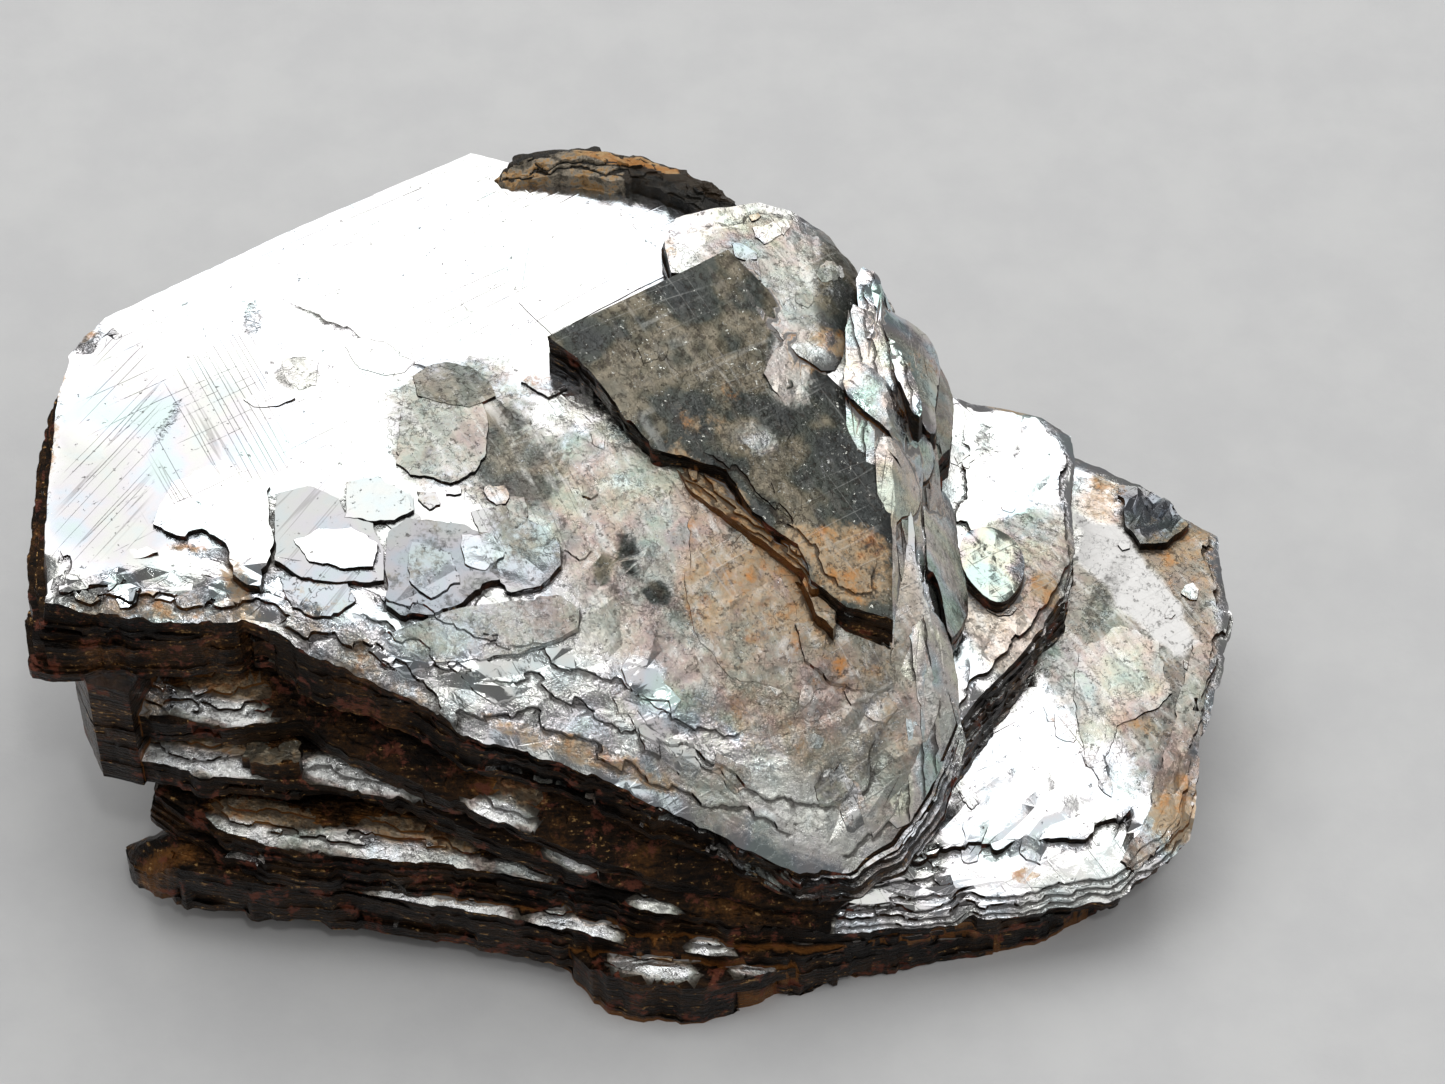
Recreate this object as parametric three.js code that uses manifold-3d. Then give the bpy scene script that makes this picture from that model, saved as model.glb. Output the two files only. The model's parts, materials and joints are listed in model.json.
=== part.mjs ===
// A hematite rose: an intergrown stack of thick tabular hematite crystals, lying on its flat-worn base.
// The crystals fan apart at the left end, curl down together at the right front, and step down to the
// right in steep petals to two low, broad plates. It grew as one piece, so it is one solid.
//
// Millimetres, +Z up, +X along the length, the fanned end at -X. Heights are above the resting surface.

import * as THREE from "three";
import { mergeVertices } from "three/addons/utils/BufferGeometryUtils.js";
import Module from "manifold-3d";

const wasm = await Module();
wasm.setup();

// ---- Driving dimensions ------------------------------------------------------------------------------

const LEFT_END = -28; // where the stack has fanned fully apart
const PINCH = 12; // where the stack has closed up again
const MAIN_HEIGHT = 24.5; // upper face of the main crystal over the origin
const LOW_HEIGHT = 9.4; // upper face of the broad lower crystal
const MAIN_THICKNESS = [5.3, 2.3]; // at the left end, and at the pinch
const EDGE_STEP = 2.4; // length of one straight break in a crystal's edge
const RAGGED = 0.32; // how far a break jumps in or out
const CENTRE = [0.72, -0.48]; // middle of the specimen's plan, in the crystals' own coordinates
const FLOOR_CUT = 30; // size of the block that wears the base flat
const SMOOTHING = 0.03; // slivers under this are flattened away
const COLOUR = { base: 0x4a4644, roughness: 0.3, metalness: 0.85 };

// ---- Surfaces: height over a place (x, y) ------------------------------------------------------------

const clamp = (v, low, high) => Math.min(high, Math.max(low, v));
const lerp = (a, b, t) => a + (b - a) * t;
const stack = (x) => clamp((x - LEFT_END) / (PINCH - LEFT_END), 0, 1);

/** A plane that curls down past a line: toward is the downhill direction, start the distance to the line. */
const curled = ({ height, riseX = 0, riseY = 0, curl = 0, toward = [0, 0], start = 0 }) => (x, y) =>
  height + riseX * x + riseY * y - curl * Math.max(0, toward[0] * x + toward[1] * y - start) ** 2;

/** A surface that lies under another, by one depth at the left end and another at the pinch. */
const under = (surface, [left, right]) => (x, y) => surface(x, y) - lerp(left, right, stack(x));

/** A surface that leaves another past x = edge and falls away with that slope. */
const falling = (surface, rise, edge, slope) => (x, y) =>
  surface(x, y) + rise - slope * Math.max(0, x - edge);

const MAIN = curled({
  height: MAIN_HEIGHT, riseX: 0.03, riseY: 0.03, curl: 0.0175, toward: [0.5, -0.866], start: -6.8,
});
const LOW = curled({ height: LOW_HEIGHT, curl: 0.0095, toward: [0.35, -0.94], start: 4 });

// ---- Crystals ----------------------------------------------------------------------------------------

/** A repeatable number from -1 to 1. */
function jitter(...keys) {
  const wave = Math.sin(keys.reduce((sum, key, i) => sum + key * (12.9898 + 65.233 * i), 1.37)) * 43758.5453;
  return 2 * (wave - Math.floor(wave)) - 1;
}

/** Breaks an outline of [x, y, spread] corners into short straight pieces. */
function broken(outline, step) {
  return outline.flatMap((a, i) => {
    const b = outline[(i + 1) % outline.length];
    const count = Math.max(1, Math.round(Math.hypot(b[0] - a[0], b[1] - a[1]) / step));
    return Array.from({ length: count }, (_, k) =>
      [0, 1, 2].map((axis) => lerp(a[axis] ?? 0, b[axis] ?? 0, k / count)));
  });
}

/**
 * One crystal, as a solid: a lathe blank whose profile holds the cap, the ledges of the edge and the
 * base, pulled out to the outline and laid on its surface.
 *   rim      corners of the upper face, anticlockwise: [x, y, how far the foot stands out past it]
 *   middle   a point that sees the whole rim
 *   top      surface of the upper face
 *   deep     thickness at the left end and at the pinch
 *   ledges   breaks down the edge, each [share of the depth, extra reach]
 */
function crystal({ rim, middle, top, deep, ledges = [[0.45, 0.25]], rings = [0.45, 0.85],
  step = EDGE_STEP, ragged = RAGGED, seed = 1 }) {
  const points = broken(rim, step);
  const count = points.length;
  // Each profile point is [share of the radius, share of the depth, reach past the rim, ledge number].
  const profile = [[0, 0, 0, 0], ...rings.map((r) => [r, 0, 0, 0]), [1, 0, 0, 0]];
  let reach = 0;
  ledges.forEach(([depth, extra], k) => {
    profile.push([1, depth, reach, k]);
    reach = extra;
    profile.push([1, depth, reach, k + 1]);
  });
  profile.push([1, 1, reach, ledges.length], [0.6, 1, 0, ledges.length], [0, 1, 0, 0]);

  const blank = new THREE.LatheGeometry(profile.map(([r, depth]) => new THREE.Vector2(r, -depth)), count);
  const place = blank.getAttribute("position");
  for (let i = 0; i < place.count; i++) {
    const [r, depth, out, ledge] = profile[i % profile.length];
    const turn = Math.floor(i / profile.length) % count;
    const [px, py, spread] = points[turn];
    const radius = Math.hypot(px - middle[0], py - middle[1]);
    const shift = out + spread * depth + ragged * jitter(turn, ledge, seed);
    const scale = r * (1 + (r === 1 ? shift / radius : 0));
    const x = middle[0] + (px - middle[0]) * scale;
    const y = middle[1] + (py - middle[1]) * scale;
    place.setXYZ(i, x, y, top(x, y) - depth * lerp(deep[0], deep[1], stack(x)));
  }
  return solidOf(blank);
}

/** A closed three.js geometry as a manifold-3d solid, with its faces pointing out. */
function solidOf(geometry) {
  geometry.deleteAttribute("normal");
  geometry.deleteAttribute("uv");
  const merged = mergeVertices(geometry, 1e-4);
  const make = (triVerts) => new wasm.Manifold(new wasm.Mesh({
    numProp: 3, vertProperties: merged.getAttribute("position").array, triVerts,
  }));
  const tris = Uint32Array.from(merged.index.array);
  // A lathe blank has triangles of no area where it meets its axis.
  const kept = [];
  for (let i = 0; i < tris.length; i += 3) {
    const [a, b, c] = tris.subarray(i, i + 3);
    if (a !== b && b !== c && c !== a) kept.push(a, b, c);
  }
  const solid = make(Uint32Array.from(kept));
  if (solid.volume() > 0) return solid;
  for (let i = 0; i < kept.length; i += 3) [kept[i + 1], kept[i + 2]] = [kept[i + 2], kept[i + 1]];
  return make(Uint32Array.from(kept));
}

// The thick main crystal: flat at the back left, curled at the right front, where its foot steps out.
const mainCrystal = {
  rim: [
    [-29, -11, 1.6], [-26.5, -11.5, 0.3], [-23.5, -12], [-19, -11.5], [-14.5, -13.5], [-10, -15],
    [-7, -16.2], [-3, -16.3, 0.3], [1, -17.2, 0.5], [4, -17.6, 0.5], [6.5, -18.2, 0.5], [9.2, -18.7, 0.6],
    [11.8, -18.2, 0.9], [14, -16.6, 1.1], [16, -14.2, 1.1], [17.4, -11.2, 0.8], [16.3, -8, 0.6],
    [15.3, -4.8, 0.8], [14.8, 0.4, 0.8], [13.5, 5.5, 0.5], [9.3, 11], [3.4, 15], [-1.5, 17.3], [-6, 18.2],
    [-8.6, 19.2], [-17.7, 14], [-27.7, 7.7, 0.6], [-29.3, 5, 1.2], [-29.7, 2.4, 1.6], [-29.6, -4.7, 1.8],
  ],
  middle: [-7, 0], top: MAIN, deep: MAIN_THICKNESS, rings: [0.4, 0.7, 0.93],
  ledges: [[0.15, 0.2], [0.45, -0.15], [0.75, 0.25]], seed: 3,
};

// Two thinner crystals under its left end, joined there by a blunt faceted block.
const upperLeaf = {
  rim: [
    [-27, -11], [-24.3, -12.8], [-20.7, -13.1], [-16.6, -12.7], [-14, -14.3], [-11.4, -15.2],
    [-8.8, -16.1], [-5.2, -17.2], [-1.1, -18], [3, -18.5], [7.2, -18.7], [11, -18.4], [14, -16.4],
    [16.2, -13.4], [16.8, -8], [16, 0], [14, 7], [8, 13.5], [0, 16.5], [-9, 18], [-17, 16], [-24.5, 9.5],
    [-27, 2], [-27.6, -5],
  ],
  middle: [-6, 0], top: under(MAIN, [7, 3.3]), deep: [2.6, 1.3], ledges: [[0.5, 0.3]], seed: 5,
};
const lowerLeaf = {
  rim: [
    [-28.4, -9.5], [-27.3, -12.4], [-24.6, -12.9], [-22, -13.9], [-18.3, -14.2], [-14.7, -14.5],
    [-11.5, -14.9], [-9.5, -15.7], [-5.3, -17.1], [-1.2, -18], [4, -18.8], [9.3, -19], [12, -18.2],
    [14.6, -15.6], [17.2, -8], [17, 2], [14, 10], [5, 15.5], [-5, 19], [-14, 18.2], [-22, 13.5], [-27, 6],
    [-28.6, -2],
  ],
  middle: [-6, 0], top: under(MAIN, [10.4, 4.5]), deep: [2.6, 1.5], ledges: [[0.4, 0.35]], step: 2.6, seed: 7,
};
const leftBlock = {
  rim: [[-28.7, -9.6], [-27.4, -12.5], [-25.2, -13.1], [-23.8, -10], [-24.4, -5], [-28, -3.5]],
  middle: [-26.4, -9], top: () => 18.2, deep: [8, 8], ledges: [[0.6, -0.2]], ragged: 0.1, seed: 9,
};

// The broad lower crystal, which runs out from under the stack to the whole right end.
const lowCrystal = {
  rim: [
    [-24.8, -12.2, 0.6], [-22.4, -13.6, 1], [-21.4, -14.8, 1], [-19.6, -15.5, 0.8], [-16.9, -16.2, 0.5],
    [-11.7, -16.5, 0.5], [-6.4, -16.9, 0.3], [-3.3, -17.4, 0.3], [0.9, -18.6, 0.3], [6.1, -19.2],
    [11.9, -18.9], [17.2, -18, -0.4], [19.8, -17.7, -0.5], [22.5, -17, -0.5], [25.7, -16.4, -0.8],
    [27.9, -15.2, -1], [30, -13.4, -1], [30.5, -11.4, -0.8], [30.9, -8, -0.5], [31.9, -5.7, -0.5],
    [32.6, -2.6, -0.5], [33.1, -0.7, -0.5], [32.8, 3.1, -0.5], [32.7, 5.2, -0.5], [30.7, 6.6, -0.5],
    [28.6, 8.8], [26.4, 10.1], [20, 13], [12, 16.5], [2, 18.5, 0.5], [-8, 17.3, 0.5], [-16, 15, 0.5],
    [-21.5, 8.5, 1], [-23.6, 0, 0.8], [-24.2, -7, 0.6],
  ],
  middle: [0, -2], top: LOW, deep: [3.2, 3.2], rings: [0.4, 0.75, 0.94],
  ledges: [[0.3, 0.2], [0.65, -0.2]], step: 2.6, seed: 11,
};

// Two crystals beneath it, which reach the resting surface. The upper one ends in a blunt nose at the left.
const underCrystal = {
  rim: [
    [-24.6, -11.6], [-26.8, -12.8], [-26.3, -14.2], [-24.2, -15.2], [-20.3, -16], [-15.5, -16.6],
    [-12.4, -17], [-9.2, -17.6], [-4.4, -18.3], [-1.2, -19], [0.9, -19.5], [5.1, -19.9], [9.3, -19.4],
    [14, -18.2], [22, -16.2], [27, -13.2], [29.4, -4], [28, 4], [21, 10.4], [8, 15], [-6, 15.4],
    [-15, 11.8], [-21, 5], [-24, -5],
  ],
  middle: [0, -2], top: (x, y) => LOW(x, y) - 3 + 1.1 * stack(x), deep: [4.4, 4.2],
  ledges: [[0.4, 0.3], [0.75, -0.9]], step: 2.8, seed: 13,
};
const footCrystal = {
  rim: [
    [-2.4, -19], [-0.9, -20.7], [1, -21.2], [4.2, -21.2], [7.2, -20.3], [9.5, -19.2], [14, -17.8],
    [20, -16.6], [25, -14.6], [27.6, -10], [27, -2], [22, 6.5], [12, 12.4], [0, 12.8], [-8, 9.5],
    [-12.4, 1], [-10.5, -8], [-6, -15],
  ],
  middle: [5, -4], deep: [4.6, 4.6], ledges: [[0.4, 0.3]], step: 2.8, seed: 15,
  top: (x, y) => 3.9 - 0.02 * x + 0.35 * Math.cos(0.22 * x + 0.6) * Math.cos(0.26 * y),
};

// The mass that the crystals grew from. It closes the gaps between them a few millimetres in.
const heart = {
  rim: [
    [-21, -7.5], [-14, -10], [-6, -12.5], [4, -14.5], [11, -14], [14, -8], [14.5, 2], [11, 9], [1, 13],
    [-10, 13.5], [-18, 9.5], [-22, 2],
  ],
  middle: [-4, -1], top: under(MAIN, [1.5, 1.5]), deep: [18, 9], rings: [0.5], ledges: [], step: 5, seed: 17,
};

// Steep petals between the main crystal and the lower right plates.
const petals = [
  {
    rim: [
      [11.8, 8], [13.2, 7.4], [14.9, 3.4], [15.8, 0.5], [15.6, -2], [15.9, -5], [15.6, -9], [14.9, -12.6],
      [12.8, -12], [12.3, -4], [11.6, 2],
    ],
    middle: [13.6, -2], top: falling(MAIN, 0.9, 14.2, 1), seed: 21,
  },
  {
    rim: [
      [13.2, 10.6], [14.4, 9.5], [16.2, 4.5], [16.9, 1.3], [16.9, -2.7], [17.3, -6.5], [17.5, -9.5],
      [16.8, -12.4], [15.4, -12.6], [14.4, -8], [14, 0], [12.6, 6],
    ],
    middle: [15.2, -1], top: falling(MAIN, -1.4, 15.6, 1.5), seed: 23,
  },
  {
    rim: [[12.4, 11.2], [13.6, 10.6], [15.2, 6.6], [16.4, 3.4], [15.8, 1.9], [13.8, 3.6], [12.2, 7.5]],
    middle: [14, 6], top: falling(MAIN, -0.2, 13.6, 1.3), seed: 25,
  },
  {
    rim: [[13.4, 11.8], [15.8, 11.6], [17.5, 9.9], [17.9, 8], [17.3, 3.6], [15.2, 3], [13.4, 8]],
    middle: [15.8, 8], top: (x, y) => 18.6 - 0.75 * (x - 15) + 0.05 * y, seed: 27,
  },
  {
    rim: [
      [15, -7.4], [16.6, -6.6], [17.5, -8.4], [17.6, -11.2], [16.4, -13.8], [14.6, -16.2], [13.4, -15.6],
      [13.6, -12.2], [14, -9.6],
    ],
    middle: [15.6, -11.4], top: (x, y) => 15.4 - 0.3 * (x - 16) + 0.35 * (y + 9), seed: 29,
  },
].map((petal) => ({ deep: [2.6, 2.6], rings: [], ledges: [[0.35, 0.2]], step: 2.2, ragged: 0.12, ...petal }));

// The plate on the right between the petals and the broad lower crystal, with a small round one on it.
const sidePlate = {
  rim: [
    [14, 3], [16, 9], [18.1, 11.2], [20.6, 10.9], [22.9, 10.4], [24.6, 9.3], [24.7, 7.3], [24.3, 4.5],
    [24.4, 1.5, 0.2], [23.6, -1.6, 0.3], [22.4, -4, 0.4], [20.4, -6.6, 0.5], [18.6, -9, 0.6],
    [17.2, -11.4, 0.5], [15.4, -11.6], [13.6, -6],
  ],
  middle: [19.5, 1], top: (x, y) => 13 - 0.1 * (x - 20) + 0.06 * (y - 2), deep: [4.6, 4.6],
  ledges: [[0.2, 0.4], [0.45, 0.2]], step: 2.2, seed: 31,
};
const roundPlate = {
  rim: [[18.2, 1], [19.4, 1.6], [20.8, 1.2], [21.6, -0.4], [21.3, -2.2], [20, -3.9], [18.6, -2.6], [17.8, -0.8]],
  middle: [19.7, -1], top: (x, y) => 13.9 - 0.14 * (x - 20) + 0.04 * y, deep: [1.4, 1.4],
  rings: [], ledges: [], step: 1.6, ragged: 0.06, seed: 33,
};

// Crystals that grew on the main one.
const darkCrystal = {
  rim: [
    [-3.9, 3.3], [-2.3, 2.4], [-0.9, 0.9], [0.2, -0.6], [1.6, -1.9], [3.2, -2.1], [5.4, -2.4], [6.8, -4.4],
    [8.9, -5.8], [9.5, -6.8], [9.7, -7.7], [11.6, -8.8], [14, -9.2], [14, -3.7], [13.8, -1.2],
    [12.8, 1.3], [11.5, 3.1], [10.1, 4.4], [8.7, 6.4], [7.6, 8.1], [5.5, 10],
  ],
  middle: [6.4, 1.6], top: (x, y) => 27.5 - 0.25 * (x + 4.2) + 0.28 * (y - 3.8), deep: [3.6, 3.6],
  rings: [], ledges: [[0.3, -0.1], [0.55, 0.45]], step: 2, ragged: 0.14, seed: 35,
};
const backCrystal = {
  rim: [
    [2.5, 8.8], [2.1, 10.9], [2.7, 12.4], [4, 12.8], [7.2, 13.9], [8.8, 13.7], [11, 12.8], [12.3, 11.4],
    [13, 9.9], [12.9, 8.2], [12.4, 6.1], [11.7, 4.7], [8.7, 2.7], [4, 5.1],
  ],
  middle: [8, 8.5], top: (x, y) => 26.5 - 0.28 * Math.max(0, x - 5) + 0.12 * (y - 11), deep: [3.2, 3.2],
  rings: [0.5], ledges: [[0.3, 0.15], [0.6, 0.3]], step: 2.2, ragged: 0.14, seed: 37,
};
const crustRidge = {
  rim: [
    [-7.4, 17], [-6.2, 18.6], [-1.5, 18.4], [1.8, 17.4], [5.1, 15.4], [6.6, 13.9], [5, 13.6], [0.8, 15.8],
    [-3.6, 16.8], [-6.3, 16.4],
  ],
  middle: [0.2, 16.9], top: (x) => 26.3 - 0.01 * x * x, deep: [3.4, 3.4], rings: [],
  ledges: [[0.3, 0.2]], step: 1.8, ragged: 0.22, seed: 39,
};

// Thin growth plates and broken steps on the main face, each a little above it.
const growthPlates = [
  { rim: [[-23.4, -6], [-23, -7.5], [-21.3, -8.4], [-20, -9], [-19.4, -11], [-17, -11], [-17, -6]], rise: 0.35 },
  { rim: [[-17.7, -4.6], [-17.5, -8.8], [-14.6, -9.7], [-12, -9.4], [-12.7, -6.3], [-15, -4.3]], rise: 0.5 },
  { rim: [[-11.6, 1.2], [-11.6, -2.7], [-7.3, -4.8], [-3.9, -7.5], [-0.6, -3.2], [-3.3, 1.2], [-6.5, 3.6], [-9.6, 4]], rise: 0.35 },
  { rim: [[-11.9, -6.4], [-11.9, -10.7], [-7.6, -10.3], [-3.1, -7.8], [-6.2, -5.2], [-9.3, -5]], rise: 0.8 },
  { rim: [[-12.6, -12.6], [-9.4, -13.2], [-6.1, -12.6], [-3.1, -11.5], [-2.1, -9.8], [-6.1, -9.9], [-10.1, -11.5]], rise: 0.5 },
  { rim: [[1, -15], [3.4, -16.6], [7.4, -15.9], [11.1, -16.3], [13.4, -15.2], [14.2, -12], [8.2, -10], [3, -11.6]], rise: 0.5 },
].map(({ rim, rise }, i) => ({
  rim, middle: [0, 1].map((axis) => rim.reduce((sum, p) => sum + p[axis], 0) / rim.length),
  top: falling(MAIN, rise, 0, 0), deep: [rise + 0.6, rise + 0.6], rings: [0.55], ledges: [], step: 1.9,
  ragged: 0.1, seed: 41 + i,
}));

// Petals at the back, where the stack opens again.
const backPetals = [
  {
    rim: [[-20, 12.2], [-22, 15], [-15, 18.6], [-7, 20.2], [-1, 18.6], [-3, 15], [-12, 13]],
    middle: [-11, 16], top: (x, y) => 20.4 - 0.25 * (y - 14) + 0.03 * x, seed: 51,
  },
  {
    rim: [[-4, 15], [-6, 18.4], [1, 19.6], [8, 17.6], [12.6, 13.6], [13.4, 9], [10, 11], [4, 14]],
    middle: [4, 15.8], top: (x, y) => 17 - 0.4 * (y - 14) - 0.12 * (x - 5), seed: 53,
  },
  {
    rim: [[-24, 5], [-27.4, 7.6], [-26, 12.4], [-19.6, 17], [-12, 20], [-9, 16], [-16, 12]],
    middle: [-18.6, 11.8], top: (x, y) => 14.4 - 0.2 * (y - 12) + 0.06 * (x + 18), seed: 55,
  },
  {
    rim: [[4, 15], [4, 18.4], [12, 17.6], [20, 14.4], [24.4, 11.6], [22, 8], [14, 11]],
    middle: [14, 13.6], top: (x, y) => 7.2 - 0.25 * (y - 13) - 0.06 * (x - 16), seed: 57,
  },
].map((petal) => ({ deep: [2.8, 2.8], rings: [0.6], ledges: [[0.4, 0.25]], step: 3, ...petal }));

// ---- The specimen ------------------------------------------------------------------------------------

const crystals = [
  mainCrystal, upperLeaf, lowerLeaf, leftBlock, lowCrystal, underCrystal, footCrystal, heart, sidePlate,
  roundPlate, darkCrystal, backCrystal, crustRidge, ...petals, ...growthPlates, ...backPetals,
].map(crystal);

/** The one outer body of a solid: sealed hollows inside it are filled. */
const filled = (solid) => solid.decompose().reduce((best, body) => (body.volume() > best.volume() ? body : best));

const wear = solidOf(new THREE.BoxGeometry(4 * FLOOR_CUT, 4 * FLOOR_CUT, FLOOR_CUT).translate(0, 0, -FLOOR_CUT / 2));
const rose = filled(wasm.Manifold.union(crystals).subtract(wear).simplify(SMOOTHING)).translate([-CENTRE[0], -CENTRE[1], 0]);

const { vertProperties, triVerts } = rose.getMesh();
const geometry = new THREE.BufferGeometry();
geometry.setAttribute("position", new THREE.BufferAttribute(vertProperties, 3));
geometry.setIndex(new THREE.BufferAttribute(triVerts, 1));
geometry.computeVertexNormals();

const mesh = new THREE.Mesh(geometry, new THREE.MeshStandardMaterial({
  color: COLOUR.base, roughness: COLOUR.roughness, metalness: COLOUR.metalness, flatShading: true,
}));
mesh.name = "hematite_rose";

const specimen = new THREE.Group();
specimen.add(mesh);

export default specimen;
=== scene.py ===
"""Dresses the hematite rose: thick tabular hematite crystals with bright faces and dark layered edges.

Sizes are in millimetres in the crystals' own coordinates, the same as the solids have, until Mason turns
them into meshes in metres around the middle of the specimen's base.
"""
import json
import logging
import math
from dataclasses import dataclass, field
from enum import IntEnum
from typing import Any, Callable, ClassVar, Sequence

import bpy
import numpy as np
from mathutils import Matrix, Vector
from mathutils.geometry import delaunay_2d_cdt

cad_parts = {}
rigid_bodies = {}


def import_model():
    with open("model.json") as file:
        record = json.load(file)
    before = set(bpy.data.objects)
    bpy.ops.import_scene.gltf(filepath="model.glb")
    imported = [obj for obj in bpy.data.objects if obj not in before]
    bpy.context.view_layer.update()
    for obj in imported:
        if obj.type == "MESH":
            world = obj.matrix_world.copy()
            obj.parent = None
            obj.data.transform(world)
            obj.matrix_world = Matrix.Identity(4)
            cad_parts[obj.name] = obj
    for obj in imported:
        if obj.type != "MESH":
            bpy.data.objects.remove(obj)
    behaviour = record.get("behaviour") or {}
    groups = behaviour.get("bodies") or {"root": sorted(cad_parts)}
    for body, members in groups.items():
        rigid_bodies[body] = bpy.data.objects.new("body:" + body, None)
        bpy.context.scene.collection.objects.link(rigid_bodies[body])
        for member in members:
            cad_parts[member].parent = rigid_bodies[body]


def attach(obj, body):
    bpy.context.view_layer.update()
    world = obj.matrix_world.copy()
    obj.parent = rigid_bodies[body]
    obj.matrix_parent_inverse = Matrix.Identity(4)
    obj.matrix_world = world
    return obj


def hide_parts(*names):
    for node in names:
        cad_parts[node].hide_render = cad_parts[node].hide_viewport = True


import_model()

LOG = logging.getLogger("hematite_rose")
NODE, SLOT, BODY = "hematite_rose", "hematite", "root"
CENTRE = (.72, -.48)  # middle of the specimen's plan
LEFT_END, PINCH = -28.0, 12.0  # where the stack has fanned apart, and where it has closed up again
LIP = .03  # width over which a broken sheet drops to what lies under it
MAP_PITCH = .17  # grid on which the ends of broken sheets are mapped
FOOT_SHADE_BAND = .3  # how far out from under a broken sheet's end painted shade reaches
STEEP, GRIMY = .45, .62  # a face that turns or is stained past these takes the edge's finish
SPREAD_START, LEAST_DROP = .08, .004  # depth in which a wall takes on its spread, and the least fall of its rings
FAR = 9e9  # further than any place on the specimen
UNDERGROUND = ((-90, -90, -30), (90, 90, 0))  # block that wears the base flat
SCATTER = (374761393, 668265263, 974634777, 1274126177)  # odd numbers that tell neighbouring places apart
MM, PER_M = .001, 1000  # metres in a millimetre, and millimetres in a metre

Array = np.ndarray
Pair = tuple[Array, Array]
Height = Callable[[Array, Array], Array]
Points = Sequence[tuple[float, ...]]
Colour = tuple[float, float, float]
Thing = bpy.types.Object
Socket = bpy.types.NodeSocket
Finish = bpy.types.Material


# ---- Heights and grain ----


def stack(x: Array) -> Array:
    """Share of the way from the fanned left end to the pinch."""
    return np.clip((x - LEFT_END) / (PINCH - LEFT_END), 0.0, 1.0)


@dataclass(frozen=True)
class Curled:
    """A plane that curls down past a line.

    toward is the downhill direction in plan, and start is how far along it the curl begins.
    """

    height: float
    rise: tuple[float, float] = (0.0, 0.0)
    curl: float = 0.0
    toward: tuple[float, float] = (0.0, 0.0)
    start: float = 0.0

    def __call__(self, x: Array, y: Array) -> Array:
        """Height over each place."""
        past = np.maximum(0.0, self.toward[0] * x + self.toward[1] * y - self.start)
        return self.height + self.rise[0] * x + self.rise[1] * y - self.curl * past**2


@dataclass(frozen=True)
class Plane:
    """A flat face through a point, with slopes along X and Y."""

    height: float
    at: tuple[float, float] = (0.0, 0.0)
    slope: tuple[float, float] = (0.0, 0.0)

    def __call__(self, x: Array, y: Array) -> Array:
        """Height over each place."""
        return self.height + self.slope[0] * (x - self.at[0]) + self.slope[1] * (y - self.at[1])


@dataclass(frozen=True)
class Under:
    """A surface a set depth under another, at the left end and at the pinch."""

    surface: Height
    left: float
    right: float

    def __call__(self, x: Array, y: Array) -> Array:
        """Height over each place."""
        return self.surface(x, y) - (self.left + (self.right - self.left) * stack(x))


@dataclass(frozen=True)
class Falling:
    """A surface that leaves another past x = edge, falls away with a slope and settles towards the front."""

    surface: Height
    rise: float
    edge: float
    slope: float
    settle: float = 0.0

    def __call__(self, x: Array, y: Array) -> Array:
        """Height over each place."""
        return (self.surface(x, y) + self.rise - self.slope * np.maximum(0.0, x - self.edge)
                - self.settle * smooth(-y, 3, 10))


MAIN = Curled(24.5, (.03, .03), .0175, (.5, -.866), -6.8)
LOW = Curled(9.4, (0.0, 0.0), .0095, (.35, -.94), 4.0)


def lattice(ix: Array, iy: Array, seed: int) -> Array:
    """A repeatable number for each whole-number place.

    Args:
        ix, iy: the places.
        seed: which pattern.

    Returns:
        Numbers from 0 to 1.
    """
    h = (ix.astype(np.int64) * SCATTER[0] + iy.astype(np.int64) * SCATTER[1] + seed * SCATTER[2]) & 0xFFFFFFFF
    h = ((h ^ (h >> 13)) * SCATTER[3]) & 0xFFFFFFFF
    return ((h ^ (h >> 16)) & 0xFFFFFF) / float(0xFFFFFF)


def swell(x: Array, y: Array, size: float, seed: int) -> Array:
    """Smooth grain.

    Args:
        x, y: places.
        size: how large its lumps are.
        seed: which pattern.

    Returns:
        Numbers from -1 to 1.
    """
    u, v = x / size, y / size
    iu, iv = np.floor(u), np.floor(v)
    fu, fv = u - iu, v - iv
    fu, fv = fu * fu * (3 - 2 * fu), fv * fv * (3 - 2 * fv)
    low = lattice(iu, iv, seed) * (1 - fu) + lattice(iu + 1, iv, seed) * fu
    high = lattice(iu, iv + 1, seed) * (1 - fu) + lattice(iu + 1, iv + 1, seed) * fu
    return 2 * (low * (1 - fv) + high * fv) - 1


def rough(x: Array, y: Array, size: float, seed: int, octaves: int = 3) -> Array:
    """Grain of several sizes, each half as large and half as strong as the one before.

    Args:
        x, y: places.
        size: the largest size.
        seed: which pattern.
        octaves: how many sizes.

    Returns:
        Numbers from -1 to 1.
    """
    total, strength = np.zeros_like(x), 1.0
    for k in range(octaves):
        total = total + strength * swell(x, y, size / 2**k, seed + 31 * k)
        strength *= .5
    return total / (2 - 2.0 ** (1 - octaves))


def chips(x: Array, y: Array, size: float, seed: int) -> Array:
    """Grain that is even all over each many-sided chip.

    Args:
        x, y: places.
        size: how large the chips are.
        seed: which pattern.

    Returns:
        Numbers from -0.5 to 0.5.
    """
    u, v = x / size, y / size
    iu, iv = np.floor(u), np.floor(v)
    best, out = np.full(x.shape, FAR), np.zeros_like(x)
    for du in (-1, 0, 1):
        for dv in (-1, 0, 1):
            cu, cv = iu + du, iv + dv
            gap = ((u - cu - .1 - .8 * lattice(cu, cv, seed)) ** 2
                   + (v - cv - .1 - .8 * lattice(cu, cv, seed + 1)) ** 2)
            out = np.where(gap < best, lattice(cu, cv, seed + 2) - .5, out)
            best = np.minimum(best, gap)
    return out


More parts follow.
